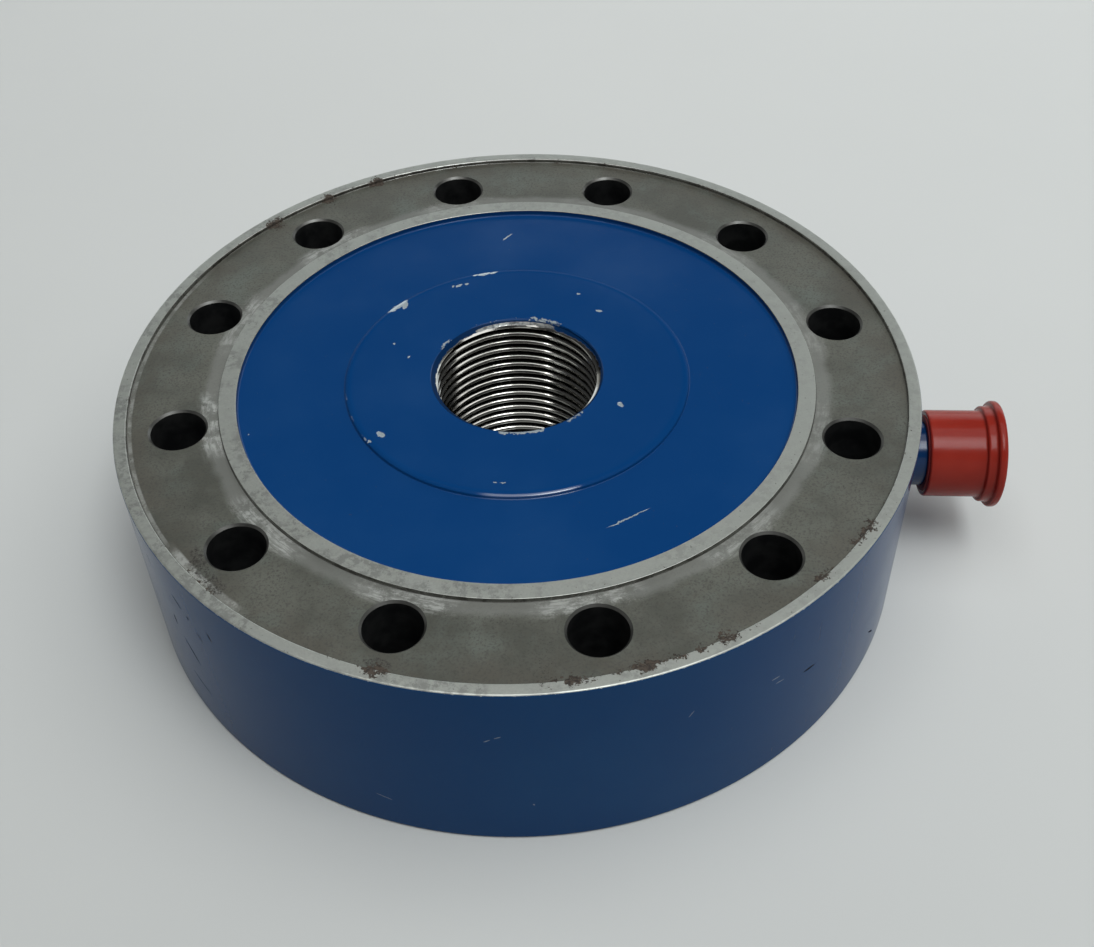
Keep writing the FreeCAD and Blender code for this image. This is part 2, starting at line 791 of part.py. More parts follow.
for thing in doc.Objects:
    if "Invalid" in thing.State or "Error" in thing.State:
        raise RuntimeError(f"{thing.Label} failed: {thing.State}")
for piece in pieces:
    if piece.Shape.isNull() or not piece.Shape.isValid():
        raise RuntimeError(f"{piece.Label} has no valid shape")

os.makedirs("parts", exist_ok=True)
for piece in pieces:
    piece.Shape.exportStep(f"parts/{piece.Label}.step")
    print(piece.Label, len(piece.Shape.Solids), round(piece.Shape.Volume, 2))
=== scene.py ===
import bmesh
import bpy
import json
import math
from mathutils import Matrix, Vector

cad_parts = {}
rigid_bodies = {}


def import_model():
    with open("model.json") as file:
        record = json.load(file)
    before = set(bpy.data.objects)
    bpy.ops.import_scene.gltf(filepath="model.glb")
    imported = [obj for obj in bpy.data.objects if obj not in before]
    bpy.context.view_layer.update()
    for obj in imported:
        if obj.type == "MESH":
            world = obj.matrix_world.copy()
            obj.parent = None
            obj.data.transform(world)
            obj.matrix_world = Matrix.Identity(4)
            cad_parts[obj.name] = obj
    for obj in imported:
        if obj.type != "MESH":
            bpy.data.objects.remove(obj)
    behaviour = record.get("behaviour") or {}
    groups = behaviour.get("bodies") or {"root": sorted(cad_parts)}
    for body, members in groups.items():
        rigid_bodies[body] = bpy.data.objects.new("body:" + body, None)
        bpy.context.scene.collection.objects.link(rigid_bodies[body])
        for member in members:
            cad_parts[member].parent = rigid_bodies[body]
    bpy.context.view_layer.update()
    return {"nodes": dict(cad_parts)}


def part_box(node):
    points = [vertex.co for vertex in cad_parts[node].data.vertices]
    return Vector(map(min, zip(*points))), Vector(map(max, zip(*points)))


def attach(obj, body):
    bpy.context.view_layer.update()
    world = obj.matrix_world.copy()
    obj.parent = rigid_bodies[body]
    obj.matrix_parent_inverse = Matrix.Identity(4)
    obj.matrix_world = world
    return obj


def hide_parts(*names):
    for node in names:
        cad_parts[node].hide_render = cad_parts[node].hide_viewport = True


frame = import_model()
nodes = frame["nodes"]
scene = bpy.context.scene
mm = 0.001  # sizes are in millimetres, and a piece is scaled to metres as it is placed
print("frame loaded:", len(nodes), "CAD nodes")


# Outlines and meshes

meshForm = {"weld": 1e-5, "arcSteps": 5, "crease": 32, "flatWeight": 100}


def roundOff(corners):
    # corners are (across, up, radius); a corner with a radius becomes an arc
    steps = meshForm["arcSteps"]
    points = []
    for index, (across, up, radius) in enumerate(corners):
        here = Vector((across, up))
        if not radius:
            points.append(here)
            continue
        toLast = (Vector(corners[index - 1][:2]) - here).normalized()
        toNext = (Vector(corners[(index + 1) % len(corners)][:2]) - here).normalized()
        half = toLast.angle(toNext) / 2
        centre = here + (toLast + toNext).normalized() * (radius / math.sin(half))
        first = here + toLast * (radius / math.tan(half)) - centre
        last = here + toNext * (radius / math.tan(half)) - centre
        sweep = math.atan2(first.x * last.y - first.y * last.x, first.dot(last))
        for step in range(steps + 1):
            points.append(centre + Matrix.Rotation(sweep * step / steps, 2) @ first)
    return points


def meshFrom(name, work):
    bmesh.ops.remove_doubles(work, verts=work.verts, dist=meshForm["weld"])
    bmesh.ops.recalc_face_normals(work, faces=work.faces)
    mesh = bpy.data.meshes.new(name)
    work.to_mesh(mesh)
    work.free()
    return mesh


def turnedMesh(name, outline, segments):
    # a closed outline of (radius, height) points swept round Z
    work = bmesh.new()
    rings = []
    for segment in range(segments):
        angle = 2 * math.pi * segment / segments
        rings.append([work.verts.new((p.x * math.cos(angle), p.x * math.sin(angle), p.y)) for p in outline])
    for segment, ring in enumerate(rings):
        following = rings[(segment + 1) % segments]
        for index, point in enumerate(outline):
            after = (index + 1) % len(outline)
            if max(point.x, outline[after].x) < meshForm["weld"]:  # a run along the axis has no faces
                continue
            work.faces.new((ring[index], following[index], following[after], ring[after]))
    return meshFrom(name, work)


def prismMesh(name, outline, low, high):
    work = bmesh.new()
    bottom = [work.verts.new((p.x, p.y, low)) for p in outline]
    top = [work.verts.new((p.x, p.y, high)) for p in outline]
    work.faces.new(bottom)
    work.faces.new(top)
    for index in range(len(outline)):
        after = (index + 1) % len(outline)
        work.faces.new((bottom[index], bottom[after], top[after], top[index]))
    return meshFrom(name, work)


def newObject(name, mesh):
    piece = bpy.data.objects.new(name, mesh)
    scene.collection.objects.link(piece)
    return piece


def gathered(name, mesh, places):
    # copies of one mesh at several places, as one cutter
    work = bmesh.new()
    for place in places:
        copy = mesh.copy()
        copy.transform(place)
        work.from_mesh(copy)
        bpy.data.meshes.remove(copy)
    joined = bpy.data.meshes.new(name)
    work.to_mesh(joined)
    work.free()
    return newObject(name, joined)


def cutAway(piece, cutter):
    cut = piece.modifiers.new("cut", "BOOLEAN")
    cut.operation = "DIFFERENCE"
    cut.solver = "EXACT"
    cut.object = cutter
    solid = piece.evaluated_get(bpy.context.evaluated_depsgraph_get())
    mesh = bpy.data.meshes.new_from_object(solid)
    piece.modifiers.clear()
    piece.data = mesh
    bpy.data.objects.remove(cutter)


def smoothed(piece, crease=meshForm["crease"]):
    # round faces shade smoothly, flats stay flat, and edges past the crease angle stay crisp
    for polygon in piece.data.polygons:
        polygon.use_smooth = True
    piece.data.set_sharp_from_angle(angle=math.radians(crease))
    flats = piece.modifiers.new("flats", "WEIGHTED_NORMAL")
    flats.keep_sharp = True
    flats.weight = meshForm["flatWeight"]


def settle(piece, body, slotName, *replaced):
    # into metres, onto its body, in place of the plain solid
    piece.data.transform(Matrix.Scale(mm, 4))
    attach(piece, body)
    if replaced:
        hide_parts(*replaced)


# Sizes of the cell: one turned flexure with webs, bolt holes and the side port

cellForm = {
    "segments": 384,
    "rimWidth": 2.5, "rimEdge": 0.4, "rimLip": 0.34, "baseEdge": 0.6,
    "reliefDepth": 0.8, "reliefWidth": 17.1, "landWidth": 3.4, "landEdge": 0.16,
    "hubRadius": 33.3, "hubEdge": 0.35, "hubDrop": 0.4, "hubRise": 0.8,
    "shoulderWidth": 1.05, "shoulderDrop": 0.42, "shoulderSteps": 12,
    "seatWidth": 2.0, "webHeadroom": 2.0, "boreRadius": 16.5, "leadIn": 0.3,
}
coverForm = {
    "drop": 1.15, "thickness": 1.2, "fit": 0.01, "lipWall": 0.05, "segments": 320,
    "hubFillet": 0.22, "hubLip": 0.28, "landFillet": 0.3, "landLip": 0.38,
}
webForm = {"count": 8, "thickness": 5.0, "corner": 3.0, "arcSteps": 10, "past": 0.5}
boltForm = {"count": 12, "inset": 11.9125, "radius": 5.2, "edge": 0.42, "past": 0.9, "segments": 72}
portForm = {
    "spotRadius": 8.5, "spotDepth": 0.7, "socketRadius": 6.0, "socketDepth": 10.0,
    "passageRadius": 4.5, "past": 2.0, "segments": 96,
}

cellLow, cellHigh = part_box("sensor_body")
outerRadius = -cellLow.x / mm
cellHeight = cellHigh.z / mm
portHeight = sum(corner.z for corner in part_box("connector_shell")) / 2 / mm
hubRadius, boreRadius = cellForm["hubRadius"], cellForm["boreRadius"]
rimInner = outerRadius - cellForm["rimWidth"]
landOuter = rimInner - cellForm["reliefWidth"]
landInner = landOuter - cellForm["landWidth"]
reliefFloor = cellHeight - cellForm["reliefDepth"]
hubTop = cellHeight - cellForm["hubDrop"]
baseSeat = coverForm["drop"] + coverForm["thickness"]
topSeat = cellHeight - baseSeat
pocketInner = hubRadius + cellForm["seatWidth"]
pocketOuter = landInner - cellForm["seatWidth"]
spotFace = outerRadius - portForm["spotDepth"]
boltRadius = outerRadius - boltForm["inset"]
boltPitch = 2 * math.pi / boltForm["count"]


# Finishes
# In a look, a noise is (grains per metre, detail, roughness), and patches add the low and high of a band.
# A reach is (from, to) and a line is (offset, reach, core), in millimetres from a radius or a height.

nodeForm = {"jitter": (4.0, 0.7), "spotBand": (1.15, 0.8), "rampRuns": 7}  # a ramp has room for 32 stops


class Finish:
    # one material and the few node moves that its recipe needs; a value given by name is found in its look
    def __init__(self, name, look):
        self.material = bpy.data.materials.new(name)
        self.material.use_nodes = True
        self.tree = self.material.node_tree
        self.shader = self.tree.nodes["Principled BSDF"]
        self.place = self.add("ShaderNodeTexCoord").outputs["Object"]
        self.look = look
        self.relief = None

    def add(self, kind, **settings):
        node = self.tree.nodes.new(kind)
        for key, value in settings.items():
            setattr(node, key, value)
        return node

    def feed(self, socket, value):
        if isinstance(value, str):
            value = self.look[value]
        if isinstance(value, bpy.types.NodeSocket):
            self.tree.links.new(value, socket)
        elif socket.type == "RGBA":
            socket.default_value = (*value, 1)
        else:
            socket.default_value = value

    def wire(self, node, *values):
        # feeds a node's inputs in turn
        for socket, value in zip(node.inputs, values):
            self.feed(socket, value)
        return node.outputs

    def calc(self, operation, *values):
        return self.wire(self.add("ShaderNodeMath", operation=operation), *values)[0]

    def chain(self, operation, values):
        result = values[0]
        for value in values[1:]:
            result = self.calc(operation, result, value)
        return result

    def plus(self, *values):
        return self.chain("ADD", values)

    def minus(self, *values):
        return self.chain("SUBTRACT", values)

    def times(self, *values):
        return self.chain("MULTIPLY", values)

    def most(self, *values):
        return self.chain("MAXIMUM", values)

    def off(self, value, middle):
        return self.calc("ABSOLUTE", self.minus(value, middle))

    def shift(self, operation, first, second):
        return self.wire(self.add("ShaderNodeVectorMath", operation=operation), first, second)[0]

    def length(self, vector):
        return self.wire(self.add("ShaderNodeVectorMath", operation="LENGTH"), vector)["Value"]

    def parts(self, vector):
        return self.wire(self.add("ShaderNodeSeparateXYZ"), vector)

    def vector(self, x, y, z=0.0):
        return self.wire(self.add("ShaderNodeCombineXYZ"), x, y, z)[0]

    def polar(self):
        # round the hub axis: angle, distance out, and height
        x, y, z = self.parts(self.place)
        return self.calc("ARCTAN2", y, x), self.length(self.vector(x, y)), z

    def band(self, value, low, high):
        # 0 at low and before, 1 at high and past it; high may be the lower number
        node = self.add("ShaderNodeMapRange", interpolation_type="SMOOTHSTEP")
        return self.wire(node, value, low, high, 0.0, 1.0)[0]

    def edge(self, value, name):
        return self.band(value, *self.look[name])

    def within(self, value, base, name):
        low, high = self.look[name]
        return self.band(value, (base + low) * mm, (base + high) * mm)

    def line(self, value, base, name):
        offset, reach, core = self.look[name]
        return self.band(self.off(value, (base + offset) * mm), reach * mm, core * mm)

    def grain(self, scale, detail, rough, where=None, output="Fac"):
        node = self.add("ShaderNodeTexNoise")
        settings = {"Vector": where or self.place, "Scale": scale, "Detail": detail, "Roughness": rough}
        for key, value in settings.items():
            self.feed(node.inputs[key], value)
        return node.outputs[output]

    def noise(self, name, where=None):
        scale, detail, rough, *edges = self.look[name]
        grain = self.grain(scale, detail, rough, where)
        return self.band(grain, *edges) if edges else grain

    def waver(self, name):
        # noise about zero; its recipe ends with how far it swings, in millimetres
        *recipe, swing = self.look[name]
        return self.times(self.minus(self.grain(*recipe), 0.5), swing * mm)

    def ragged(self, where, name):
        # places jittered at so many grains per metre and by so many millimetres
        scale, swing = self.look[name]
        grain = self.grain(scale, *nodeForm["jitter"], where, "Color")
        jitter = self.shift("SUBTRACT", grain, (0.5, 0.5, 0.5))
        return self.shift("ADD", where, self.shift("MULTIPLY", jitter, (swing * mm,) * 3))

    def mix(self, amount, first, second):
        node = self.add("ShaderNodeMix", data_type="RGBA")
        for socket, value in zip((0, 6, 7), (amount, first, second)):
            self.feed(node.inputs[socket], value)
        return node.outputs[2]

    def between(self, amount, first, second):
        node = self.add("ShaderNodeMix")
        for socket, value in zip((0, 2, 3), (amount, first, second)):
            self.feed(node.inputs[socket], value)
        return node.outputs[0]

    def layered(self, colour, *layers):
        # shades laid over a colour, each with the strengths that say where
        for shade, *strengths in layers:
            colour = self.mix(self.times(*strengths), colour, shade)
        return colour

    def roundRamp(self, angle, stops):
        # a strength that changes with the angle; stops are (degrees, strength)
        node = self.add("ShaderNodeValToRGB")
        self.feed(node.inputs[0], self.plus(self.calc("DIVIDE", angle, 2 * math.pi), 0.5))
        ramp = node.color_ramp
        while len(ramp.elements) < len(stops):
            ramp.elements.new(0.5)
        for element, (degrees, strength) in zip(ramp.elements, sorted(stops)):
            element.position = degrees / 360 + 0.5
            element.color = (strength, strength, strength, 1)
        return node.outputs[0]

    def runs(self, angle, stretches, ease, rest=0.0):
        # a strength that holds within each stretch of degrees and eases back to rest outside it
        ramps, count = [], nodeForm["rampRuns"]
        for first in range(0, len(stretches), count):
            stops = []
            for start, end, strength in stretches[first:first + count]:
                stops += [(start - ease, rest), (start, strength), (end, strength), (end + ease, rest)]
            ramps.append(self.roundRamp(angle, stops))
        return self.most(*ramps)

    def spots(self, where, ovals):
        # oval patches, each a centre and half sizes in millimetres with a turn in radians
        distances = []
        for centre, turn, half in ovals:
            node = self.add("ShaderNodeMapping", vector_type="TEXTURE")
            place = (*(Vector(centre) * mm), 0)
            size = (*(Vector(half) * mm), 1)
            distances.append(self.length(self.wire(node, where, place, (0, 0, turn), size)[0]))
        return self.band(self.chain("MINIMUM", distances), *nodeForm["spotBand"])

    def emboss(self, height, name):
        bump = self.add("ShaderNodeBump")
        self.feed(bump.inputs["Distance"], self.look[name] * mm)
        self.feed(bump.inputs["Height"], height)
        if self.relief:
            self.feed(bump.inputs["Normal"], self.relief)
        self.relief = bump.outputs[0]
        self.feed(self.shader.inputs["Normal"], self.relief)

    def colour(self, value):
        self.feed(self.shader.inputs["Base Color"], value)

    def roughness(self, value):
        self.feed(self.shader.inputs["Roughness"], value)

    def gloss(self, value):
        self.feed(self.shader.inputs["Specular IOR Level"], value)

    def metallic(self, value):
        self.feed(self.shader.inputs["Metallic"], value)


# Blue enamel

paintLook = {
    "blue": (0.0028, 0.0415, 0.155), "dusty": (0.0050, 0.0478, 0.165),
    # bare is the chipped paint's colour, also used for the painted highlight dashes along the hub
    "bare": (0.43, 0.49, 0.52), "dirt": (0.006, 0.008, 0.014),
    "film": (38, 4.0, 0.6, 0.35, 0.8), "clean": 0.13, "dull": 0.23, "caked": 0.85,
    "peel": (2600, 2.0, 0.55), "peelDepth": 0.003, "bareMetal": 0.35, "wearDepth": -0.06,
}


def bluePaint(name, coat, wear=None):
    # semi-gloss enamel with a faint film of dust; wear gives where it is bare and where it is dirty
    look = paintLook | coat
    # a coat's tint scales the enamel's colours; on the wall and the neck it is painted shade
    for shade in ("blue", "dusty"):
        look[shade] = [part * share for part, share in zip(look[shade], look["tint"])]
    finish = Finish(name, look)
    film = finish.noise("film")
    colour = finish.mix(film, "blue", "dusty")
    rough = finish.between(film, "clean", "dull")
    finish.gloss("gloss")
    finish.emboss(finish.noise("peel"), "peelDepth")
    if wear:
        bare, dirt = wear(finish)
        colour = finish.layered(colour, ("dirt", dirt), ("bare", bare))
        rough = finish.between(dirt, rough, "caked")
        finish.metallic(finish.times(bare, "bareMetal"))
        finish.emboss(finish.most(bare, dirt), "wearDepth")
    finish.roughness(rough)
    finish.colour(colour)
    return finish.material


# chips on the painted top: degrees round the hub, millimetres out, length, width, turn from the tangent
topChips = [
    (141.4, 32.8, 5.4, 1.7, 0),
    (139.4, 31.7, 2.4, 1.0, 35),
    (105.5, 32.6, 2.8, 1.0, 4),
    (108.5, 32.7, 0.9, 0.7, 0),
    (101.8, 32.6, 2.0, 0.7, 8),
    (116.2, 30.6, 1.5, 0.7, 12),
    (113.4, 30.4, 0.8, 0.5, 0),
    (118.6, 30.9, 0.7, 0.5, 40),
    (-23.6, 22.0, 1.5, 1.0, 60),
    (51.0, 24.9, 1.3, 0.6, 30),
    (65.6, 27.3, 0.8, 0.5, 0),
    (-143.9, 30.2, 1.8, 1.1, 20),
    (-143.2, 32.8, 0.9, 0.7, 0),
    (168.6, 22.0, 0.7, 0.5, 0),
    (161.6, 26.3, 0.6, 0.5, 0),
    (-91.6, 29.9, 1.1, 0.22, 0),
    (-94.2, 30.0, 0.7, 0.22, 0),
    (-60.0, 43.3, 8.4, 0.28, 4),
    (95.8, 45.9, 2.9, 0.4, 49),
    (-160.4, 52.4, 0.32, 0.28, 0),
]
# flakes at the bore, pale dashes along the hub painted as highlight, and its full bead: from and to in
# degrees, then the strength
boreFlakes = [
    (-98, -70, 0.62),
    (-53, -41, 0.6),
    (5, 12, 0.4),
    (28, 34, 0.4),
    (62, 84, 0.56),
    (92, 126, 0.42),
    (145, 156, 0.56),
]
hubGlintDashes = [(-170, -165.5, 0.6), (-158.3, -153.7, 0.55), (-148.5, -144, 0.6), (92, 108, 0.4)]
fullBead = [(-95, -70, 1.0)]
topLook = {
    "gloss": 0.2, "tint": (1, 1, 1), "chipEdge": (700, 1.1),
    "flakes": (1250, 5.0, 0.7), "flakeReach": (2.2, 0.5), "flakeBand": (1.04, 1.08),
    # these place the painted highlight dashes along the hub's edge
    "glintDashes": (500, 4.0, 0.7), "glintLine": (-0.2, 0.3, 0.1), "glintBand": (1.02, 1.25), "glintShare": 0.6,
    "dust": (1900, 2.0, 0.55, 0.74, 0.78), "dustShare": 0.5,
    "hubLine": (-0.6, 0.9, 0.6), "hubGloss": 0.012, "beadReach": (-0.6, -0.4), "beadGloss": 1.0,
}


def topOvals():
    ovals = []
    for degrees, radius, length, width, turn in topChips:
        angle, heading = math.radians(degrees), math.radians(degrees + 90 + turn)
        centre = (radius * math.cos(angle), radius * math.sin(angle))
        ovals.append((centre, heading, (length / 2, width / 2)))
    return ovals


def topWear(finish):
    angle, out, _ = finish.polar()
    chips = finish.spots(finish.ragged(finish.place, "chipEdge"), topOvals())
    atBore = finish.within(out, boreRadius, "flakeReach")
    flaking = finish.times(finish.runs(angle, boreFlakes, ease=4, rest=0.1), atBore)
    flakes = finish.edge(finish.plus(flaking, finish.noise("flakes")), "flakeBand")
    glinting = finish.times(finish.runs(angle, hubGlintDashes, ease=0.8), finish.line(out, hubRadius, "glintLine"))
    glintDashes = finish.edge(finish.plus(glinting, finish.noise("glintDashes")), "glintBand")
    # the bead of paint round the hub is fullest and glossiest on its near side
    bead = finish.times(finish.runs(angle, fullBead, ease=4), finish.within(out, hubRadius, "beadReach"))
    onHub = finish.between(bead, "hubGloss", "beadGloss")
    finish.gloss(finish.between(finish.line(out, hubRadius, "hubLine"), "gloss", onHub))
    # bare holds the chips and flakes, and the painted highlight dashes along the hub's edge
    bare = finish.most(chips, flakes, finish.times(glintDashes, "glintShare"))
    return bare, finish.times(finish.noise("dust"), "dustShare")


# scratches in the wall's paint: from and to in degrees and millimetres up, then the width
darkScratches = [
    ((-138.4, 34.1), (-136.5, 32.5), 0.50),
    ((-140.4, 26.2), (-140.2, 23.9), 0.50),
    ((-135.4, 31.7), (-135.1, 31.3), 0.60),
    ((-130.7, 32.7), (-130.1, 31.1), 0.45),
    ((-138.7, 21.9), (-135.9, 17.8), 0.50),
    ((-139.3, 11.2), (-135.2, 9.3), 0.34),
    ((-133.7, 29.6), (-132.6, 28.0), 0.32),
    ((-47.1, 22.6), (-44.9, 22.2), 0.50),
    ((-28.5, 9.5), (-26.5, 7.0), 0.45),
    ((118.0, 17.0), (121.0, 18.2), 0.40),
    ((64.0, 25.5), (65.2, 23.4), 0.40),
]
paleScratches = [
    ((-91.1, 29.5), (-90.4, 30.0), 0.24),
    ((-89.8, 30.5), (-89.1, 31.0), 0.24),
    ((-106.3, 8.7), (-104.2, 7.8), 0.20),
    ((-85.5, 10.8), (-85.4, 10.6), 0.30),
    ((-53.1, 26.8), (-51.8, 26.8), 0.30),
    ((-52.3, 25.1), (-51.0, 25.0), 0.25),
    ((-65.5, 27.8), (-64.9, 29.0), 0.20),
    ((98.0, 12.0), (99.4, 12.6), 0.25),
]
wallStreaks = [(-150, -136, 0.18), (-100, -84, 0.12), (-60, -40, 0.16)]
# the wall's tint makes its enamel darker and greener than the same enamel on top: painted shade on the
# upright wall
wallLook = {
    "gloss": 0.08, "tint": (0.8, 1.04, 0.92), "scratchEdge": (500, 0.5), "scratchEnd": 0.1, "paleShare": 0.4,
    "streakLay": (90, 3.0), "streakStretch": (1100, 75, 1), "streaks": (1, 4.0, 0.6),
    "streakBand": (0.82, 0.92), "streakShare": 0.4,
    "topGrain": (1100, 4.0, 0.7), "topInset": 0.4, "topFall": 900, "topBand": (0.72, 0.8),
    "footGrain": (330, 4.0, 0.7), "footFall": 330, "footBand": (0.5, 0.56), "footShare": 0.5,
}


def scratchOvals(scratches):
    # on the wall rolled out flat
    ovals = []
    for (fromTurn, fromHeight), (toTurn, toHeight), width in scratches:
        start = Vector((math.radians(fromTurn) * outerRadius, fromHeight))
        end = Vector((math.radians(toTurn) * outerRadius, toHeight))
        along = end - start
        half = (along.length / 2 + wallLook["scratchEnd"], width / 2)
        ovals.append(((start + end) / 2, math.atan2(along.y, along.x), half))
    return ovals


def wallWear(finish):
    angle, _, z = finish.polar()
    flat = finish.vector(finish.times(angle, outerRadius * mm), z)
    where = finish.ragged(flat, "scratchEdge")
    pale = finish.times(finish.spots(where, scratchOvals(paleScratches)), "paleShare")
    dark = finish.spots(where, scratchOvals(darkScratches))
    lay = finish.shift("MULTIPLY", finish.ragged(flat, "streakLay"), "streakStretch")
    streaks = finish.plus(finish.noise("streaks", lay), finish.runs(angle, wallStreaks, ease=6))
    streaks = finish.times(finish.edge(streaks, "streakBand"), "streakShare")
    # paint worn off in places along the upper and lower edges
    rise = finish.times(finish.minus(z, (cellHeight - wallLook["topInset"]) * mm), "topFall")
    upper = finish.edge(finish.plus(finish.noise("topGrain", where), rise), "topBand")
    lower = finish.minus(finish.noise("footGrain", where), finish.times(z, "footFall"))
    lower = finish.times(finish.edge(lower, "footBand"), "footShare")
    return finish.most(pale, upper, lower), finish.most(dark, streaks)


# Bare steel

# rust along the foot of the rim: from and to in degrees, then how thick it lies
rustRuns = [
    (-84, -82, 0.46),
    (-81, -77, 0.58),
    (-76.5, -69.5, 0.7),
    (-67, -64, 0.54),
    (-63.5, -58.5, 0.64),
    (-44, -42.5, 0.48),
    (-36, -34, 0.34),
    (-33, -31, 0.4),
    (-135, -131, 0.18),
    (-106, -103, 0.5),
    (118, 119.2, 0.5),
    (127.2, 128.5, 0.55),
    (138.2, 139.7, 0.55),
]
rustLook = {
    "rust": (0.060, 0.046, 0.034), "crust": (0.020, 0.015, 0.011), "rustShade": (1500, 3.0, 0.55, 0.4, 0.65),
    "crumbs": (2300, 3.0, 0.7), "clumps": (560, 3.0, 0.6), "crumbShare": 1.2,
    "rustInset": 0.08, "rustFall": 230, "rustBand": (1.36, 1.46),
}
rustRadius = rimInner - rustLook["rustInset"]

# how much the steel has been handled, by degrees: most on the left, away from the connector; where it is low
# the steel is also coloured darker, towards the right
handled = [(-180, 1.0), (-100, 0.95), (-45, 0.35), (60, 0.3), (125, 0.6), (180, 1.0)]


def rustAt(finish, angle, out):
    # crumbs that gather along the foot and fray out on both sides of it
    crumbs = finish.times(finish.plus(finish.noise("crumbs"), finish.noise("clumps")), "crumbShare")
    lies = finish.runs(angle, rustRuns, ease=1, rest=-0.06)
    away = finish.times(finish.off(out, rustRadius * mm), "rustFall")
    thick = finish.minus(finish.plus(crumbs, lies), away)
    return finish.edge(thick, "rustBand"), finish.mix(finish.noise("rustShade"), "rust", "crust")


groundLook = rustLook | {
    "pale": (0.448, 0.468, 0.428), "worn": (0.338, 0.354, 0.326),
    "smudge": (0.17, 0.175, 0.163), "pit": (0.07, 0.065, 0.055),
    "cloud": (150, 5.0, 0.65, 0.40, 0.72), "unhandled": 0.9, "fine": (2400, 3.0, 0.6, 0.3, 0.75),
    "smears": (520, 6.0, 0.78, 0.42, 0.58), "smearClouds": (110, 3.0, 0.6, 0.42, 0.56),
    "specks": (1500, 2.0, 0.5, 0.68, 0.74), "fineDepth": 0.006, "rustHeight": 0.05,
    "smooth": 0.38, "rough": 0.5, "crusted": 0.85, "metal": 0.8, "smudgeMetal": 0.6,
}


def groundSteel(name):
    # bright ground faces: cloudy handling marks, dark smudges, fine grain, rust at the foot of the rim
    finish = Finish(name, groundLook)
    angle, out, _ = finish.polar()
    side = finish.roundRamp(angle, handled)
    cloud = finish.between(side, "unhandled", finish.noise("cloud"))
    fine, specks = finish.noise("fine"), finish.noise("specks")
    smudge = finish.times(side, finish.noise("smears"), finish.noise("smearClouds"))
    rust, brown = rustAt(finish, angle, out)
    finish.colour(finish.layered(
        finish.mix(cloud, "pale", "worn"),
        ("worn", fine, 0.4),
        ("smudge", smudge, 0.7),
        ("pit", specks, 0.6),
        (brown, rust),
    ))
    finish.roughness(finish.between(rust, finish.between(cloud, "smooth", "rough"), "crusted"))
    finish.metallic(finish.between(rust, finish.between(smudge, "metal", "smudgeMetal"), 0.0))
    finish.emboss(finish.minus(fine, specks), "fineDepth")
    finish.emboss(rust, "rustHeight")
    return finish.material


annulusLook = rustLook | {
    "dull": (0.115, 0.119, 0.098), "dark": (0.069, 0.072, 0.058), "green": (0.116, 0.136, 0.117),
    "brown": (0.078, 0.072, 0.056), "sandy": (0.055, 0.055, 0.047), "pale": (0.215, 0.222, 0.205),
    "scuff": (0.47, 0.485, 0.455), "grime": (0.022, 0.019, 0.016),
    "cloud": (60, 5.0, 0.62, 0.36, 0.66), "unhandled": 0.8, "tint": (95, 4.0, 0.55, 0.48, 0.72),
    "sand": (2300, 3.0, 0.65), "sandBand": (0.48, 0.66), "grit": (900, 4.0, 0.7, 0.5, 0.75),
    "browned": (130, 4.0, 0.6, 0.36, 0.62), "brownReach": (-8.98, -0.98),
    "specks": (2600, 2.0, 0.55, 0.62, 0.7), "speckClouds": (110, 4.0, 0.6, 0.5, 0.66),
    "swing": (150, 4.0, 0.6, 3.2), "marginReach": (3.82, 1.82), "scuffReach": (4.82, 2.32),
    "strokeLay": (160, 0.5), "strokeStretch": (190, 1500, 1), "strokes": (1, 5.0, 0.7, 0.40, 0.60),
    "betweenStrokes": 0.25, "patchy": (300, 6.0, 0.75, 0.40, 0.58), "betweenPatches": 0.3,
    "abreast": (0.38, 0.16), "chafedLine": (-0.78, 1.0, 0.5), "footLine": (-0.48, 0.5, 0.2),
    # the two corner reaches and their share are painted shade at the foot of the rim and of the land
    "rimCornerShade": (-0.18, -0.03), "landCornerShade": (0.18, 0.08), "cornerShadeShare": 0.75,
    "grimeEdge": (330, 4.0), "grimeCrumbs": (2100, 5.0, 0.75, 0.42, 0.6),
    "smooth": 0.44, "rough": 0.56, "crusted": 0.9, "metal": 0.3, "scuffMetal": 0.7,
    "sandDepth": 0.016, "rustHeight": 0.04,
}
# how hard the ring is scuffed beside each bolt hole, from the first hole round
scuffing = [0.3, 0.3, 0.15, 0.4, 0.8, 0.7, 1.0, 1.0, 0.95, 0.9, 0.55, 0.3]
# where the rim's foot is chafed, and how far it is rubbed pale, by degrees
footChafed = [(-139, -127, 0.8)]
footMargin = [(-180, 0.5), (-144, 0.45), (-140, 0.0), (152, 0.0), (162, 0.5), (180, 0.5)]
# grime at the rim's foot: degrees, millimetres out, turn, half length and half width
grimeSpots = [(-136.0, 71.8, 0.3, 4.2, 1.5), (-131.5, 72.6, 0.1, 3.0, 1.1), (-104.6, 73.0, 0.0, 2.4, 0.9)]


def grimeOvals():
    # on the annulus rolled out along the rim's foot
    ovals = []
    for degrees, radius, turn, length, width in grimeSpots:
        ovals.append(((math.radians(degrees) * rustRadius, radius), turn, (length, width)))
    return ovals


def besideHoles(finish, angle):
    # strongest abreast of each bolt hole, by how hard it is scuffed there
    phase = finish.calc("FRACT", finish.plus(finish.calc("DIVIDE", angle, boltPitch), boltForm["count"]))
    stops = []
    for index, strength in enumerate(scuffing):
        degrees = (index + 0.5) * math.degrees(boltPitch)
        stops.append(((degrees + 180) % 360 - 180, strength))
    return finish.times(finish.edge(finish.off(phase, 0.5), "abreast"), finish.roundRamp(angle, stops))


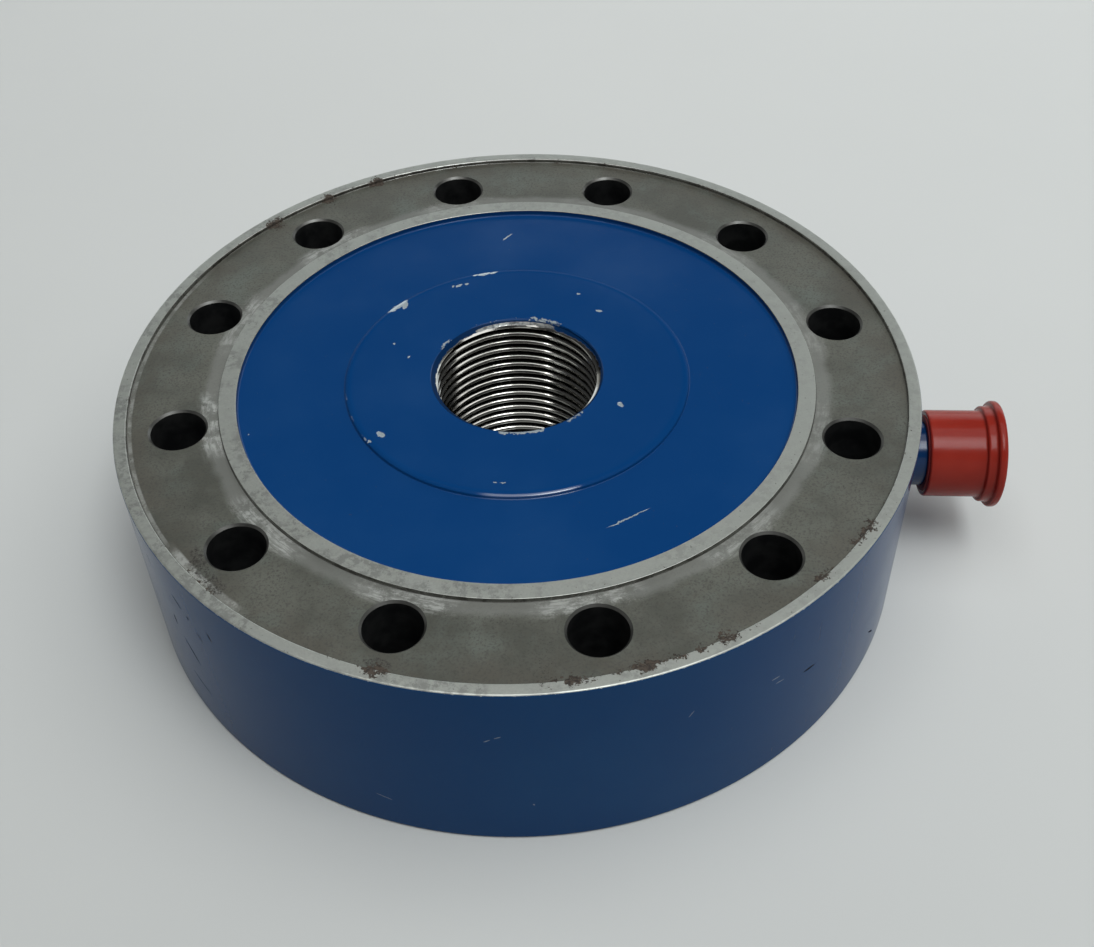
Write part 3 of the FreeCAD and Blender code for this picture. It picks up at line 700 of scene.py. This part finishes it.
def annulusSteel(name):
    # dull grey bolt annulus, cloudy and sandy, browner outwards, with pale scuffs along the inner land
    finish = Finish(name, annulusLook)
    angle, out, _ = finish.polar()
    ring = finish.vector(finish.times(angle, rustRadius * mm), out)
    side = finish.between(finish.roundRamp(angle, handled), "unhandled", 1.0)
    cloud = finish.times(finish.noise("cloud"), side)
    sand = finish.noise("sand")
    browned = finish.times(finish.within(out, rimInner, "brownReach"), finish.noise("browned"))
    # a paler margin along the land, then dry strokes that follow the ring past each hole
    reach = finish.plus(out, finish.waver("swing"))
    lay = finish.shift("MULTIPLY", finish.ragged(ring, "strokeLay"), "strokeStretch")
    strokes = finish.between(finish.noise("strokes", lay), "betweenStrokes", 1.0)
    patchy = finish.noise("patchy")
    alongLand = finish.within(reach, landOuter, "scuffReach")
    stroked = finish.times(besideHoles(finish, angle), alongLand, strokes, patchy)
    # a pale chafed edge along the foot of the rim, widest on the near left
    chafed = finish.times(finish.runs(angle, footChafed, ease=2), finish.line(out, rimInner, "chafedLine"))
    margin = finish.times(finish.roundRamp(angle, footMargin), finish.line(out, rimInner, "footLine"))
    worn = finish.between(patchy, "betweenPatches", 1.0)
    scuff = finish.most(stroked, finish.times(finish.most(chafed, margin), worn))
    # painted shade in both corners, then grime and rust
    outerCornerShade = finish.within(out, rimInner, "rimCornerShade")
    corner = finish.most(outerCornerShade, finish.within(out, landOuter, "landCornerShade"))
    grime = finish.spots(finish.ragged(ring, "grimeEdge"), grimeOvals())
    grime = finish.times(grime, finish.noise("grimeCrumbs"))
    rust, brown = rustAt(finish, angle, out)
    grimeAndShade = finish.most(grime, rust, finish.times(corner, "cornerShadeShare"))
    finish.colour(finish.layered(
        finish.mix(cloud, "dark", "dull"),
        ("green", finish.noise("tint"), 0.7),
        ("brown", browned, 0.7),
        ("sandy", finish.edge(sand, "sandBand"), 0.75),
        ("brown", finish.noise("grit"), 0.45),
        ("grime", finish.noise("specks"), finish.noise("speckClouds"), 0.8),
        ("pale", finish.within(reach, landOuter, "marginReach"), 0.55),
        ("scuff", scuff),
        # the grime colour lays real grime and rust, and painted shade in the corners
        ("grime", grimeAndShade),
        (brown, rust),
    ))
    finish.metallic(finish.between(grimeAndShade, finish.between(scuff, "metal", "scuffMetal"), 0.0))
    finish.roughness(finish.between(grimeAndShade, finish.between(cloud, "smooth", "rough"), "crusted"))
    finish.emboss(sand, "sandDepth")
    finish.emboss(rust, "rustHeight")
    return finish.material


threadLook = {
    # the root colour is painted shade in the grooves, and the mouth's paint colour is the enamel darkened as
    # painted shade
    "crest": (0.42, 0.415, 0.39), "root": (0.045, 0.044, 0.04), "stain": (0.17, 0.165, 0.15),
    "bright": (0.17, 0.175, 0.17), "dark": (0.04, 0.042, 0.044), "paint": (0.0016, 0.0190, 0.0680),
    "rootReach": (-0.85, -0.25), "stains": (160, 4.0, 0.55, 0.5, 0.8), "mottle": (900, 4.0, 0.7, 0.4, 0.65),
    "mouthSwing": (500, 4.0, 0.7, 0.8), "mouthReach": (0.95, 0.80), "bareReach": (0.3, 0.6),
    "bareGrain": (620, 4.0, 0.7), "bareBand": (0.84, 0.98), "grain": (1800, 2.0, 0.55), "depth": 0.004,
    "gloss": 0.03, "polished": 0.1, "stained": 0.2, "mouthRoughness": 0.4, "mouthMetal": 0.8,
}
# where the mouth of the bore has lost its paint, by degrees
mouthBare = [(70, 120, 0.75), (-96, -64, 0.4)]


def threadSteel(name):
    # cut bright on the crests, dark in the roots as painted shade; paint has run over the mouth, darkened
    # there as painted shade
    finish = Finish(name, threadLook)
    angle, out, z = finish.polar()
    stain = finish.noise("stains")
    cut = finish.mix(finish.within(out, boreRadius, "rootReach"), "crest", "root")
    mouth = finish.mix(finish.noise("mottle"), "bright", "dark")
    depth = finish.minus(hubTop * mm, z)
    atMouth = finish.within(finish.plus(depth, finish.waver("mouthSwing")), 0, "mouthReach")
    bare = finish.times(finish.runs(angle, mouthBare, ease=9), finish.within(depth, 0, "bareReach"))
    bare = finish.edge(finish.plus(bare, finish.noise("bareGrain")), "bareBand")
    paint = finish.times(atMouth, finish.minus(1.0, bare))
    finish.colour(finish.layered(cut, ("stain", stain, 0.6), (mouth, atMouth), ("paint", paint)))
    finish.metallic(finish.between(paint, finish.between(atMouth, 1.0, "mouthMetal"), 0.0))
    finish.roughness(finish.between(atMouth, finish.between(stain, "polished", "stained"), "mouthRoughness"))
    finish.gloss("gloss")
    finish.emboss(finish.noise("grain"), "depth")
    return finish.material


# the steps' colours are darker than the ground steel they are cut in: painted shade
stepLook = rustLook | {
    "bright": (0.22, 0.22, 0.205), "stain": (0.10, 0.098, 0.09), "stains": (300, 5.0, 0.7, 0.45, 0.6),
    "smooth": 0.14, "crusted": 0.8,
}


def stepSteel(name):
    # smooth turned steps, which mirror what stands round them; their steel is coloured darker as painted
    # shade
    finish = Finish(name, stepLook)
    angle, out, _ = finish.polar()
    rust, brown = rustAt(finish, angle, out)
    finish.colour(finish.layered(finish.mix(finish.noise("stains"), "bright", "stain"), (brown, rust)))
    finish.metallic(finish.minus(1.0, rust))
    finish.roughness(finish.between(rust, "smooth", "crusted"))
    return finish.material


# drilled walls are coloured near black, painted shade deep in the holes; chamfers and pockets plain machined
# steel
holeLook = {
    "light": (0.012, 0.013, 0.014), "dark": (0.035, 0.036, 0.036), "stains": (260, 4.0, 0.55, 0.35, 0.7),
    "roughness": 0.5, "metal": 0.6, "stretch": (0, 0, 3200), "grain": (1, 2.0, 0.5), "depth": 0.02,
}
pocketLook = {
    "light": (0.45, 0.45, 0.43), "dark": (0.30, 0.30, 0.28), "stains": (140, 4.0, 0.55, 0.4, 0.75),
    "roughness": 0.36, "metal": 0.9, "stretch": (1, 1, 1), "grain": (1500, 3.0, 0.55), "depth": 0.008,
}
chamferLook = pocketLook | {"light": (0.11, 0.11, 0.103), "dark": (0.07, 0.07, 0.066)}


def cutSteel(name, look):
    finish = Finish(name, look)
    finish.colour(finish.mix(finish.noise("stains"), "light", "dark"))
    finish.roughness("roughness")
    finish.metallic("metal")
    finish.emboss(finish.noise("grain", finish.shift("MULTIPLY", finish.place, "stretch")), "depth")
    return finish.material


# The cell

def hubShoulder():
    # the hub's soft painted edge, from its side up onto the flat
    form = cellForm
    points = []
    for step in range(form["shoulderSteps"], -1, -1):
        turn = math.pi / 2 * step / form["shoulderSteps"]
        inset = form["shoulderWidth"] * (1 - math.sin(turn))
        drop = form["shoulderDrop"] * (1 - math.cos(turn))
        points.append((hubRadius - inset, hubTop - drop, 0))
    return points


def cellOutline():
    form = cellForm
    webTop, webBase = topSeat - form["webHeadroom"], baseSeat + form["webHeadroom"]
    lead = boreRadius + form["leadIn"]
    edge = form["landEdge"]
    return roundOff([
        (lead, form["hubRise"], 0),
        (hubRadius, form["hubRise"], form["hubEdge"]),
        (hubRadius, baseSeat, 0),
        (pocketInner, baseSeat, 0),
        (pocketInner, webBase, 0),
        (pocketOuter, webBase, 0),
        (pocketOuter, baseSeat, 0),
        (landInner, baseSeat, 0),
        (landInner, 0, edge),
        (outerRadius, 0, form["baseEdge"]),
        (outerRadius, cellHeight, form["rimEdge"]),
        (rimInner, cellHeight, form["rimLip"]),
        (rimInner, reliefFloor, edge),
        (landOuter, reliefFloor, edge),
        (landOuter, cellHeight, edge),
        (landInner, cellHeight, edge),
        (landInner, topSeat, 0),
        (pocketOuter, topSeat, 0),
        (pocketOuter, webTop, 0),
        (pocketInner, webTop, 0),
        (pocketInner, topSeat, 0),
        (hubRadius, topSeat, 0),
        *hubShoulder(),
        (lead, hubTop, 0),
        (boreRadius, hubTop - form["leadIn"], 0),
        (boreRadius, form["hubRise"] + form["leadIn"], 0),
    ])


def boltCutters():
    # each flares past both faces, so that it leaves a broken edge there
    radius, edge, past = boltForm["radius"], boltForm["edge"], boltForm["past"]
    outline = [Vector(point) for point in (
        (0, -past), (radius + edge + past, -past), (radius, edge),
        (radius, reliefFloor - edge), (radius + edge + past, reliefFloor + past), (0, reliefFloor + past),
    )]
    mesh = turnedMesh("boltCutter", outline, boltForm["segments"])
    out = Matrix.Translation((boltRadius, 0, 0))
    turns = [boltPitch * (n + 0.5) for n in range(boltForm["count"])]
    return gathered("boltCutters", mesh, [Matrix.Rotation(turn, 4, "Z") @ out for turn in turns])


def arc(centre, radius, first, last):
    steps = webForm["arcSteps"]
    turns = [first + (last - first) * n / steps for n in range(steps + 1)]
    return [centre + radius * Vector((math.cos(turn), math.sin(turn))) for turn in turns]


def pocketCutters():
    # sectors between the webs, with milled corners
    halfPitch, corner, past = math.pi / webForm["count"], webForm["corner"], webForm["past"]
    offset = webForm["thickness"] / 2 + corner
    along = Vector((math.cos(halfPitch), math.sin(halfPitch)))
    aside = Vector((-along.y, along.x))
    flank = halfPitch + math.pi / 2

    def cornerCentre(distance):
        return along * math.sqrt(distance ** 2 - offset ** 2) - aside * offset

    outerCentre, innerCentre = cornerCentre(pocketOuter - corner), cornerCentre(pocketInner + corner)
    outerTurn = math.atan2(outerCentre.y, outerCentre.x)
    innerTurn = math.atan2(innerCentre.y, innerCentre.x)
    middle = Vector((0, 0))
    upper = arc(middle, pocketOuter, 0, outerTurn)
    upper += arc(outerCentre, corner, outerTurn, flank)
    upper += arc(innerCentre, corner, flank, innerTurn + math.pi)
    upper += arc(middle, pocketInner, innerTurn, 0)
    lower = [Vector((p.x, -p.y)) for p in reversed(upper)]
    mesh = prismMesh("pocketCutter", upper + lower, baseSeat - past, topSeat + past)
    turns = [2 * halfPitch * n for n in range(webForm["count"])]
    return gathered("pocketCutters", mesh, [Matrix.Rotation(turn, 4, "Z") for turn in turns])


alongConnector = Matrix.Translation((0, 0, portHeight)) @ Matrix.Rotation(math.pi / 2, 4, "Y")


def portCutter():
    form = portForm
    socketFloor = spotFace - form["socketDepth"]
    start, end = (pocketInner + pocketOuter) / 2, outerRadius + form["past"]
    outline = [Vector(point) for point in (
        (0, start), (form["passageRadius"], start), (form["passageRadius"], socketFloor),
        (form["socketRadius"], socketFloor), (form["socketRadius"], spotFace),
        (form["spotRadius"], spotFace), (form["spotRadius"], end), (0, end),
    )]
    return gathered("portCutter", turnedMesh("portCut", outline, form["segments"]), [alongConnector])


# how a face is told apart: slack in its place, and how level it is
faceForm = {
    "slack": 0.01, "floorSlack": 0.05, "spotRoom": 1.0, "groundRim": 0.22, "groundBase": 1.0,
    "flat": 0.95, "flatEdge": 0.97, "flatStep": 0.8, "slanted": 0.4,
}


def cellFinish(centre, normal):
    # which finish a face of the cell has, from where it is and which way it faces
    form, level = faceForm, abs(normal.z)
    radius = math.hypot(centre.x, centre.y)
    toPort = math.hypot(centre.y, centre.z - portHeight)
    turn = (math.floor(math.atan2(centre.y, centre.x) / boltPitch) + 0.5) * boltPitch
    toBolt = math.hypot(centre.x - boltRadius * math.cos(turn), centre.y - boltRadius * math.sin(turn))
    if toBolt < boltForm["radius"] + boltForm["edge"] and level < form["flat"]:
        return "chamfer" if level > form["slanted"] else "hole"
    if centre.x > pocketOuter and toPort < portForm["spotRadius"] + form["slack"]:
        if centre.x < outerRadius - form["spotRoom"]:
            return "inside"
        if toPort > portForm["socketRadius"] + form["slack"]:
            return "wall"
    if radius > outerRadius - cellForm["baseEdge"] and level < form["flatEdge"]:
        return "ground" if centre.z > cellHeight - form["groundRim"] else "wall"
    if radius > landInner - form["slack"]:
        if centre.z < reliefFloor - form["floorSlack"]:
            return "ground" if centre.z < form["groundBase"] else "top"
        if level < form["flatStep"]:
            return "step"
        return "annulus" if centre.z < reliefFloor + form["floorSlack"] else "ground"
    if radius < hubRadius + form["slack"]:
        return "bore" if radius < boreRadius + form["floorSlack"] else "top"
    return "inside"


def makeCell():
    piece = newObject("cellBody", turnedMesh("cellBody", cellOutline(), cellForm["segments"]))
    for cutter in (boltCutters(), pocketCutters(), portCutter()):
        cutAway(piece, cutter)
    finishes = {
        "wall": bluePaint("wallEnamel", wallLook, wallWear),
        "top": bluePaint("topEnamel", topLook, topWear),
        "ground": groundSteel("groundSteel"),
        "annulus": annulusSteel("annulusSteel"),
        "step": stepSteel("stepSteel"),
        "bore": threadSteel("boreSteel"),
        "hole": cutSteel("drilledSteel", holeLook),
        "inside": cutSteel("pocketSteel", pocketLook),
        "chamfer": cutSteel("chamferSteel", chamferLook),
    }
    order = list(finishes)
    piece.data.materials.clear()
    for name in order:
        piece.data.materials.append(finishes[name])
    for polygon in piece.data.polygons:
        polygon.material_index = order.index(cellFinish(polygon.center, polygon.normal))
    smoothed(piece)
    settle(piece, "cell", "blue_paint", "sensor_body")
    print("cell body:", len(piece.data.polygons), "faces")
    return finishes


finishes = makeCell()


# Covers: painted rings, with the paint drawn up against the hub

def makeCover(name, node, low, facing):
    form = coverForm
    inner, outer = hubRadius + form["fit"], landInner - form["fit"]
    high = low + form["thickness"]
    rear, face = (low, high) if facing > 0 else (high, low)
    hubLip, landLip = face + facing * form["hubLip"], face + facing * form["landLip"]
    outline = roundOff([
        (inner, rear, 0),
        (outer, rear, 0),
        (outer, landLip, 0),
        (outer - form["lipWall"], landLip, 0),
        (outer - form["lipWall"], face, form["landFillet"]),
        (inner + form["lipWall"], face, form["hubFillet"]),
        (inner + form["lipWall"], hubLip, 0),
        (inner, hubLip, 0),
    ])
    piece = newObject(name, turnedMesh(name, outline, form["segments"]))
    piece.data.materials.append(finishes["top"])
    smoothed(piece)
    settle(piece, "cell", "blue_paint", node)


makeCover("topCover", "top_cover", topSeat, 1)
makeCover("baseCover", "bottom_cover", coverForm["drop"], -1)
print("covers done")


# Thread: the turns that stand in from the bore wall

threadForm = {
    "pitch": 2.0, "crestRadius": 15.42, "stepsPerTurn": 120, "flankSteps": 4, "crease": 25,
    "sunk": 0.03, "crestRound": 0.07, "crestRise": 0.098, "taperSlope": 1.2,
    "runOut": 0.01, "runOutStep": 0.002, "mouthRoom": 0.05,
}


def threadProfile():
    # one ridge as (place along the axis, radius), with its flanks divided so that the taper cuts them cleanly
    form = threadForm
    wall, crest = boreRadius + form["sunk"], form["crestRadius"]
    foot, flat = form["pitch"] * 7 / 16, form["pitch"] / 8  # half widths of a metric thread's ridge
    shoulder = (flat + form["crestRound"], crest + form["crestRise"])
    rise = []
    for step in range(form["flankSteps"] + 1):
        share = step / form["flankSteps"]
        rise.append((foot + (shoulder[0] - foot) * share, wall + (shoulder[1] - wall) * share))
    rise.append((flat - form["crestRound"], crest))
    return [(-along, radius) for along, radius in rise] + list(reversed(rise))


def makeThread():
    form = threadForm
    pitch, profile = form["pitch"], threadProfile()
    foot = profile[-1][0]
    low, high, mouth = cellForm["hubRise"], hubTop, boreRadius + cellForm["leadIn"]
    count = int((high - low + 2 * foot) / pitch * form["stepsPerTurn"])

    def taper(z):
        return mouth - form["taperSlope"] * min(high - z, z - low)

    work = bmesh.new()
    rows = []
    for step in range(count + 1):
        turn = 2 * math.pi * step / form["stepsPerTurn"]
        middle = low - foot + pitch * step / form["stepsPerTurn"]
        row = []
        for index, (offset, radius) in enumerate(profile):
            # past the mouth the turn runs out under the taper
            inset = form["runOut"] + form["runOutStep"] * index
            z = min(max(middle + offset, low + inset), high - form["mouthRoom"] + inset)
            reach = taper(z) + form["sunk"] if taper(z) > boreRadius else max(radius, taper(z))
            row.append(work.verts.new((reach * math.cos(turn), reach * math.sin(turn), z)))
        rows.append(row)
    for row, following in zip(rows, rows[1:]):
        for index in range(len(profile)):
            after = (index + 1) % len(profile)
            work.faces.new((row[index], following[index], following[after], row[after]))
    work.faces.new(rows[0])
    work.faces.new(rows[-1])
    piece = newObject("hubThread", meshFrom("hubThread", work))
    piece.data.materials.append(finishes["bore"])
    smoothed(piece, form["crease"])
    settle(piece, "cell", "stud_steel")
    print("thread:", len(piece.data.polygons), "faces")


makeThread()


# Neck, gasket lip and dust cap, turned about the connector axis

def turnedOnConnector(name, corners, segments, finish, body, slotName, *replaced):
    # corners are (place along the axis, radius, rounding)
    outline = roundOff([(radius, along, rounding) for along, radius, rounding in corners])
    mesh = turnedMesh(name, outline, segments)
    mesh.transform(alongConnector)
    piece = newObject(name, mesh)
    piece.data.materials.append(finish)
    smoothed(piece)
    settle(piece, body, slotName, *replaced)


def ends(node):
    # where a node starts and ends along the connector
    return [corner.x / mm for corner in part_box(node)]


neckForm = {
    "radius": 6.45, "fitRadius": 5.95, "bore": 4.6, "counterbore": 5.2, "counterboreDepth": 2.0,
    "edge": 0.35, "sealBack": 5.0, "sealWidth": 1.6, "sealDepth": 0.6, "segments": 128,
}
# the neck's tint darkens its enamel: painted shade beside the cell wall
neckLook = {"gloss": 0.32, "tint": (0.6, 0.6, 0.6)}


def makeNeck():
    form = neckForm
    back, front = ends("connector_neck")
    seal = spotFace - form["sealBack"]
    groove = form["fitRadius"] - form["sealDepth"]
    corners = [
        (back, form["bore"], 0),
        (back, form["fitRadius"], 0),
        (seal, form["fitRadius"], 0),
        (seal, groove, 0),
        (seal + form["sealWidth"], groove, 0),
        (seal + form["sealWidth"], form["fitRadius"], 0),
        (spotFace, form["fitRadius"], 0),
        (spotFace, form["radius"], 0),
        (front, form["radius"], form["edge"]),
        (front, form["counterbore"], 0),
        (front - form["counterboreDepth"], form["counterbore"], 0),
        (front - form["counterboreDepth"], form["bore"], 0),
    ]
    enamel = bluePaint("neckEnamel", neckLook)
    turnedOnConnector(
        "connectorNeck", corners, form["segments"], enamel, "cell", "blue_paint", "connector_neck",
    )


gasketForm = {"lipRadius": 7.6, "lipInner": 6.5, "lipLength": 0.15, "edge": 0.08, "segments": 128}


def makeGasketLip():
    # the gasket's soft lip, squeezed out past the neck into the cap's mouth
    form = gasketForm
    back, front = ends("connector_gasket")
    back -= form["lipLength"]
    corners = [
        (back, form["lipInner"], 0),
        (back, form["lipRadius"], form["edge"]),
        (front, form["lipRadius"], form["edge"]),
        (front, form["lipInner"], 0),
    ]
    rubber = nodes["connector_gasket"].data.materials[0]
    turnedOnConnector("gasketLip", corners, form["segments"], rubber, "cell", "seal_rubber")


capLook = {
    "red": (0.250, 0.0215, 0.0134), "faded": (0.286, 0.029, 0.018), "scuff": (0.38, 0.07, 0.045),
    "fade": (70, 4.0, 0.55, 0.35, 0.75), "smooth": 0.16, "rough": 0.25, "gloss": 0.13,
    "scuffStretch": (240, 2600, 2600), "scuffs": (1, 3.0, 0.6, 0.68, 0.78), "scuffShare": 0.25,
    "grain": (1400, 3.0, 0.55), "depth": 0.012,
    "glow": 0.3, "glowDepth": 2.2, "glowTint": (1.0, 0.25, 0.16),
}


def capPlastic(name):
    # soft moulded plastic, slightly faded, with fine handling scuffs
    finish = Finish(name, capLook)
    fade = finish.noise("fade")
    scuffs = finish.noise("scuffs", finish.shift("MULTIPLY", finish.place, "scuffStretch"))
    finish.colour(finish.layered(finish.mix(fade, "red", "faded"), ("scuff", scuffs, "scuffShare")))
    finish.roughness(finish.between(fade, "smooth", "rough"))
    finish.gloss("gloss")
    finish.emboss(finish.noise("grain"), "depth")
    glow = {"Weight": "glow", "Radius": "glowTint", "Scale": capLook["glowDepth"] * mm}
    for key, value in glow.items():
        finish.feed(finish.shader.inputs["Subsurface " + key], value)
    return finish.material


capForm = {
    "bore": 7.65, "wall": 1.03, "endThickness": 2.9, "collar": 9.58, "collarLength": 1.85,
    "flangeThickness": 1.7, "dishRadius": 6.5, "dishDepth": 0.8, "segments": 160,
    "lipInside": 0.08, "lipEdge": 0.45, "collarFoot": 0.4, "collarEdge": 0.45, "flangeFoot": 0.45,
    "flangeEdge": 0.55, "endEdge": 0.7, "dishEdge": 0.3, "seatCorner": 0.2,
}


def makeCap():
    form = capForm
    lip, end = ends("dust_cap")
    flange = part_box("dust_cap")[1].y / mm
    outer = form["bore"] + form["wall"]
    seat = end - form["endThickness"]
    flangeBack = end - form["flangeThickness"]
    collarBack = flangeBack - form["collarLength"]
    dish = end - form["dishDepth"]
    corners = [
        (lip, form["bore"], form["lipInside"]),
        (lip, outer, form["lipEdge"]),
        (collarBack, outer, form["collarFoot"]),
        (collarBack, form["collar"], form["collarEdge"]),
        (flangeBack, form["collar"], form["flangeFoot"]),
        (flangeBack, flange, form["flangeEdge"]),
        (end, flange, form["endEdge"]),
        (end, form["dishRadius"], form["dishEdge"]),
        (dish, form["dishRadius"], form["dishEdge"]),
        (dish, 0, 0),
        (seat, 0, 0),
        (seat, form["bore"], form["seatCorner"]),
    ]
    plastic = capPlastic("capPlastic")
    turnedOnConnector("dustCap", corners, form["segments"], plastic, "cap", "cap_plastic", "dust_cap")


# Finishes of the pieces that keep their solids

solidLook = {
    "cloud": (4.0, 0.55), "cloudBand": (0.35, 0.7), "polished": -0.06, "dulled": 0.08,
    "grain": (3.0, 0.55), "finer": 6, "depth": 0.01,
}


def plainFinish(name, light, dark, roughness, metallic=0.0, scale=300):
    look = solidLook
    finish = Finish(name, look)
    cloud = finish.edge(finish.grain(scale, *look["cloud"]), "cloudBand")
    finish.colour(finish.mix(cloud, light, dark))
    finish.roughness(finish.between(cloud, roughness + look["polished"], roughness + look["dulled"]))
    finish.metallic(metallic)
    finish.emboss(finish.grain(scale * look["finer"], *look["grain"]), "depth")
    return finish.material


# name, light and dark shade, roughness, and where they differ, how metallic it is and its grains per metre
solidFinishes = {
    "strain_gauges": ("gaugeFilm", (0.72, 0.46, 0.15), (0.60, 0.36, 0.10), 0.35),
    "gauge_terminals": ("tinnedCopper", (0.78, 0.50, 0.32), (0.62, 0.40, 0.26), 0.35, 1.0),
    "bridge_harness": ("harnessSleeve", (0.75, 0.75, 0.70), (0.62, 0.62, 0.58), 0.5),
    "terminal_strip": ("stripLaminate", (0.10, 0.30, 0.16), (0.07, 0.23, 0.12), 0.45),
    "compensation_resistors": ("resistorBody", (0.20, 0.20, 0.22), (0.14, 0.14, 0.16), 0.5),
    "connector_leads": ("leadSleeve", (0.70, 0.70, 0.66), (0.58, 0.58, 0.54), 0.5),
    "port_potting": ("pottingResin", (0.12, 0.12, 0.12), (0.08, 0.08, 0.08), 0.4),
    "neck_seal": ("sealRubber", (0.06, 0.06, 0.06), (0.035, 0.035, 0.035), 0.7),
    "connector_gasket": ("gasketRubber", (0.27, 0.014, 0.009), (0.20, 0.010, 0.007), 0.6),
    "connector_shell": ("shellAlloy", (0.36, 0.37, 0.30), (0.26, 0.27, 0.21), 0.4, 0.85, 220),
    "bayonet_studs": ("studSteel", (0.60, 0.60, 0.58), (0.42, 0.42, 0.40), 0.3, 1.0),
    "connector_insert": ("insertRubber", (0.07, 0.07, 0.07), (0.045, 0.045, 0.045), 0.6),
    "insert_retainer": ("retainerRubber", (0.09, 0.09, 0.09), (0.06, 0.06, 0.06), 0.6),
    "contact_pins": ("contactGilt", (0.83, 0.62, 0.26), (0.70, 0.50, 0.18), 0.25, 1.0),
}
for node, recipe in solidFinishes.items():
    nodes[node].data.materials.clear()
    nodes[node].data.materials.append(plainFinish(*recipe))
print("solids finished:", len(solidFinishes))

makeNeck()
makeGasketLip()
makeCap()
print("neck, gasket and cap done")


# Floor, light and camera, in metres

stageForm = {
    # near and far are the paper's colours at the front and the back; the change between them is painted light
    "near": (0.51, 0.524, 0.51), "far": (0.735, 0.752, 0.732), "distant": (0.56, 0.574, 0.56),
    "roughness": 0.7, "gloss": 0.2, "cloud": (9, 4.0, 0.55), "cloudShare": 0.15, "paintedLightBack": (-0.25, 0.45),
    "even": (0.5, 1.4), "floorSize": 7.0, "floorDrop": 0.00005,
    "wallRadius": 3.3, "wallHeight": 1.6, "wallSides": 128, "sky": (0.95, 0.98, 1.0), "skyStrength": 0.07,
}


def paperFloor():
    finish = Finish("paleFloor", stageForm)
    cloud = finish.times(finish.noise("cloud"), "cloudShare")
    # the paper is coloured paler towards the back as painted light, with a faint cloud of tone
    paintedLightBack = finish.plus(finish.edge(finish.parts(finish.place)[1], "paintedLightBack"), cloud)
    finish.colour(finish.mix(paintedLightBack, "near", "far"))
    finish.roughness("roughness")
    finish.gloss("gloss")
    # well away from the cell the paper shows an even pale grey, seen straight or mirrored
    rays = finish.add("ShaderNodeLightPath").outputs
    seen = finish.most(rays["Is Camera Ray"], rays["Is Glossy Ray"], rays["Is Transmission Ray"])
    amount = finish.times(seen, finish.edge(finish.polar()[1], "even"))
    even = finish.wire(finish.add("ShaderNodeEmission"), "distant")[0]
    shown = finish.wire(finish.add("ShaderNodeMixShader"), amount, finish.shader.outputs[0], even)[0]
    finish.feed(finish.tree.nodes["Material Output"].inputs["Surface"], shown)
    finish.material.cycles.emission_sampling = "NONE"
    return finish.material


def makeFloor():
    form = stageForm
    paper = paperFloor()
    bpy.ops.mesh.primitive_plane_add(size=form["floorSize"], location=(0, 0, -form["floorDrop"]))
    floor = bpy.context.object
    bpy.ops.mesh.primitive_cylinder_add(
        vertices=form["wallSides"], radius=form["wallRadius"], depth=form["wallHeight"],
        end_fill_type="NOTHING", location=(0, 0, form["wallHeight"] / 2),
    )
    wall = bpy.context.object
    for name, piece in (("floor", floor), ("backdrop", wall)):
        piece.name = name
        piece.data.materials.append(paper)


white, cool = (1, 1, 1), (0.9, 0.96, 1)
lightForm = {  # a lamp with no aim looks straight down
    "softbox": {"at": (0.38, -0.22, 1.25), "size": (1.65, 1.5), "power": 14.5, "tint": white},
    "frontLamp": {"at": (0.33, -0.52, 1.2), "size": (0.36, 0.45), "power": 4.0, "tint": cool},
    "rightTube": {"at": (0.3, -0.2, 1.2), "size": (0.34, 0.28), "power": 1.6, "tint": white},
    "leftTube": {"at": (-0.36, -0.15, 1.2), "size": (0.035, 0.3), "power": 0.3, "tint": white},
    "panel": {"at": (0.3, 1.9, 0.72), "aim": (0, 0, 0.04), "size": (3.4, 1.0), "power": 10.9, "tint": cool},
}


def makeLights():
    for name, form in lightForm.items():
        light = bpy.data.lights.new(name, "AREA")
        light.shape = "RECTANGLE"
        light.size, light.size_y = form["size"]
        light.energy = form["power"]
        light.color = form["tint"]
        lamp = newObject(name, light)
        lamp.location = form["at"]
        aim = form.get("aim", (*form["at"][:2], 0))
        lamp.rotation_euler = (Vector(aim) - lamp.location).to_track_quat("-Z", "Y").to_euler()
    world = bpy.data.worlds.new("studio")
    world.use_nodes = True
    sky = world.node_tree.nodes["Background"]
    sky.inputs["Color"].default_value = (*stageForm["sky"], 1)
    sky.inputs["Strength"].default_value = stageForm["skyStrength"]
    scene.world = world


# The camera as fitted to the photograph: turn about the hub axis, tilt and roll in degrees, then its place;
# focal and photoWidth are in pixels
cameraForm = {
    "turn": 3.6, "tilt": 45.0, "roll": -1.77, "back": 0.2756, "right": 0.00584, "up": -0.01926,
    "aimHeight": 0.0412, "focal": 1419.44, "photoWidth": 1094, "sensor": 36.0, "clip": 0.01,
}


def makeCamera():
    form = cameraForm
    camera = bpy.data.cameras.new("camera")
    camera.sensor_width = form["sensor"]
    camera.lens = form["focal"] / form["photoWidth"] * form["sensor"]
    camera.clip_start = form["clip"]
    stand = Matrix.Translation((0, 0, form["aimHeight"]))
    for degrees, axis in ((form["turn"], "Z"), (90 - form["tilt"], "X"), (form["roll"], "Z")):
        stand = stand @ Matrix.Rotation(math.radians(degrees), 4, axis)
    holder = newObject("camera", camera)
    holder.matrix_world = stand @ Matrix.Translation((form["right"], form["up"], form["back"]))
    scene.camera = holder


makeFloor()
makeLights()
makeCamera()
scene.view_settings.view_transform = "Standard"
print("stage set")
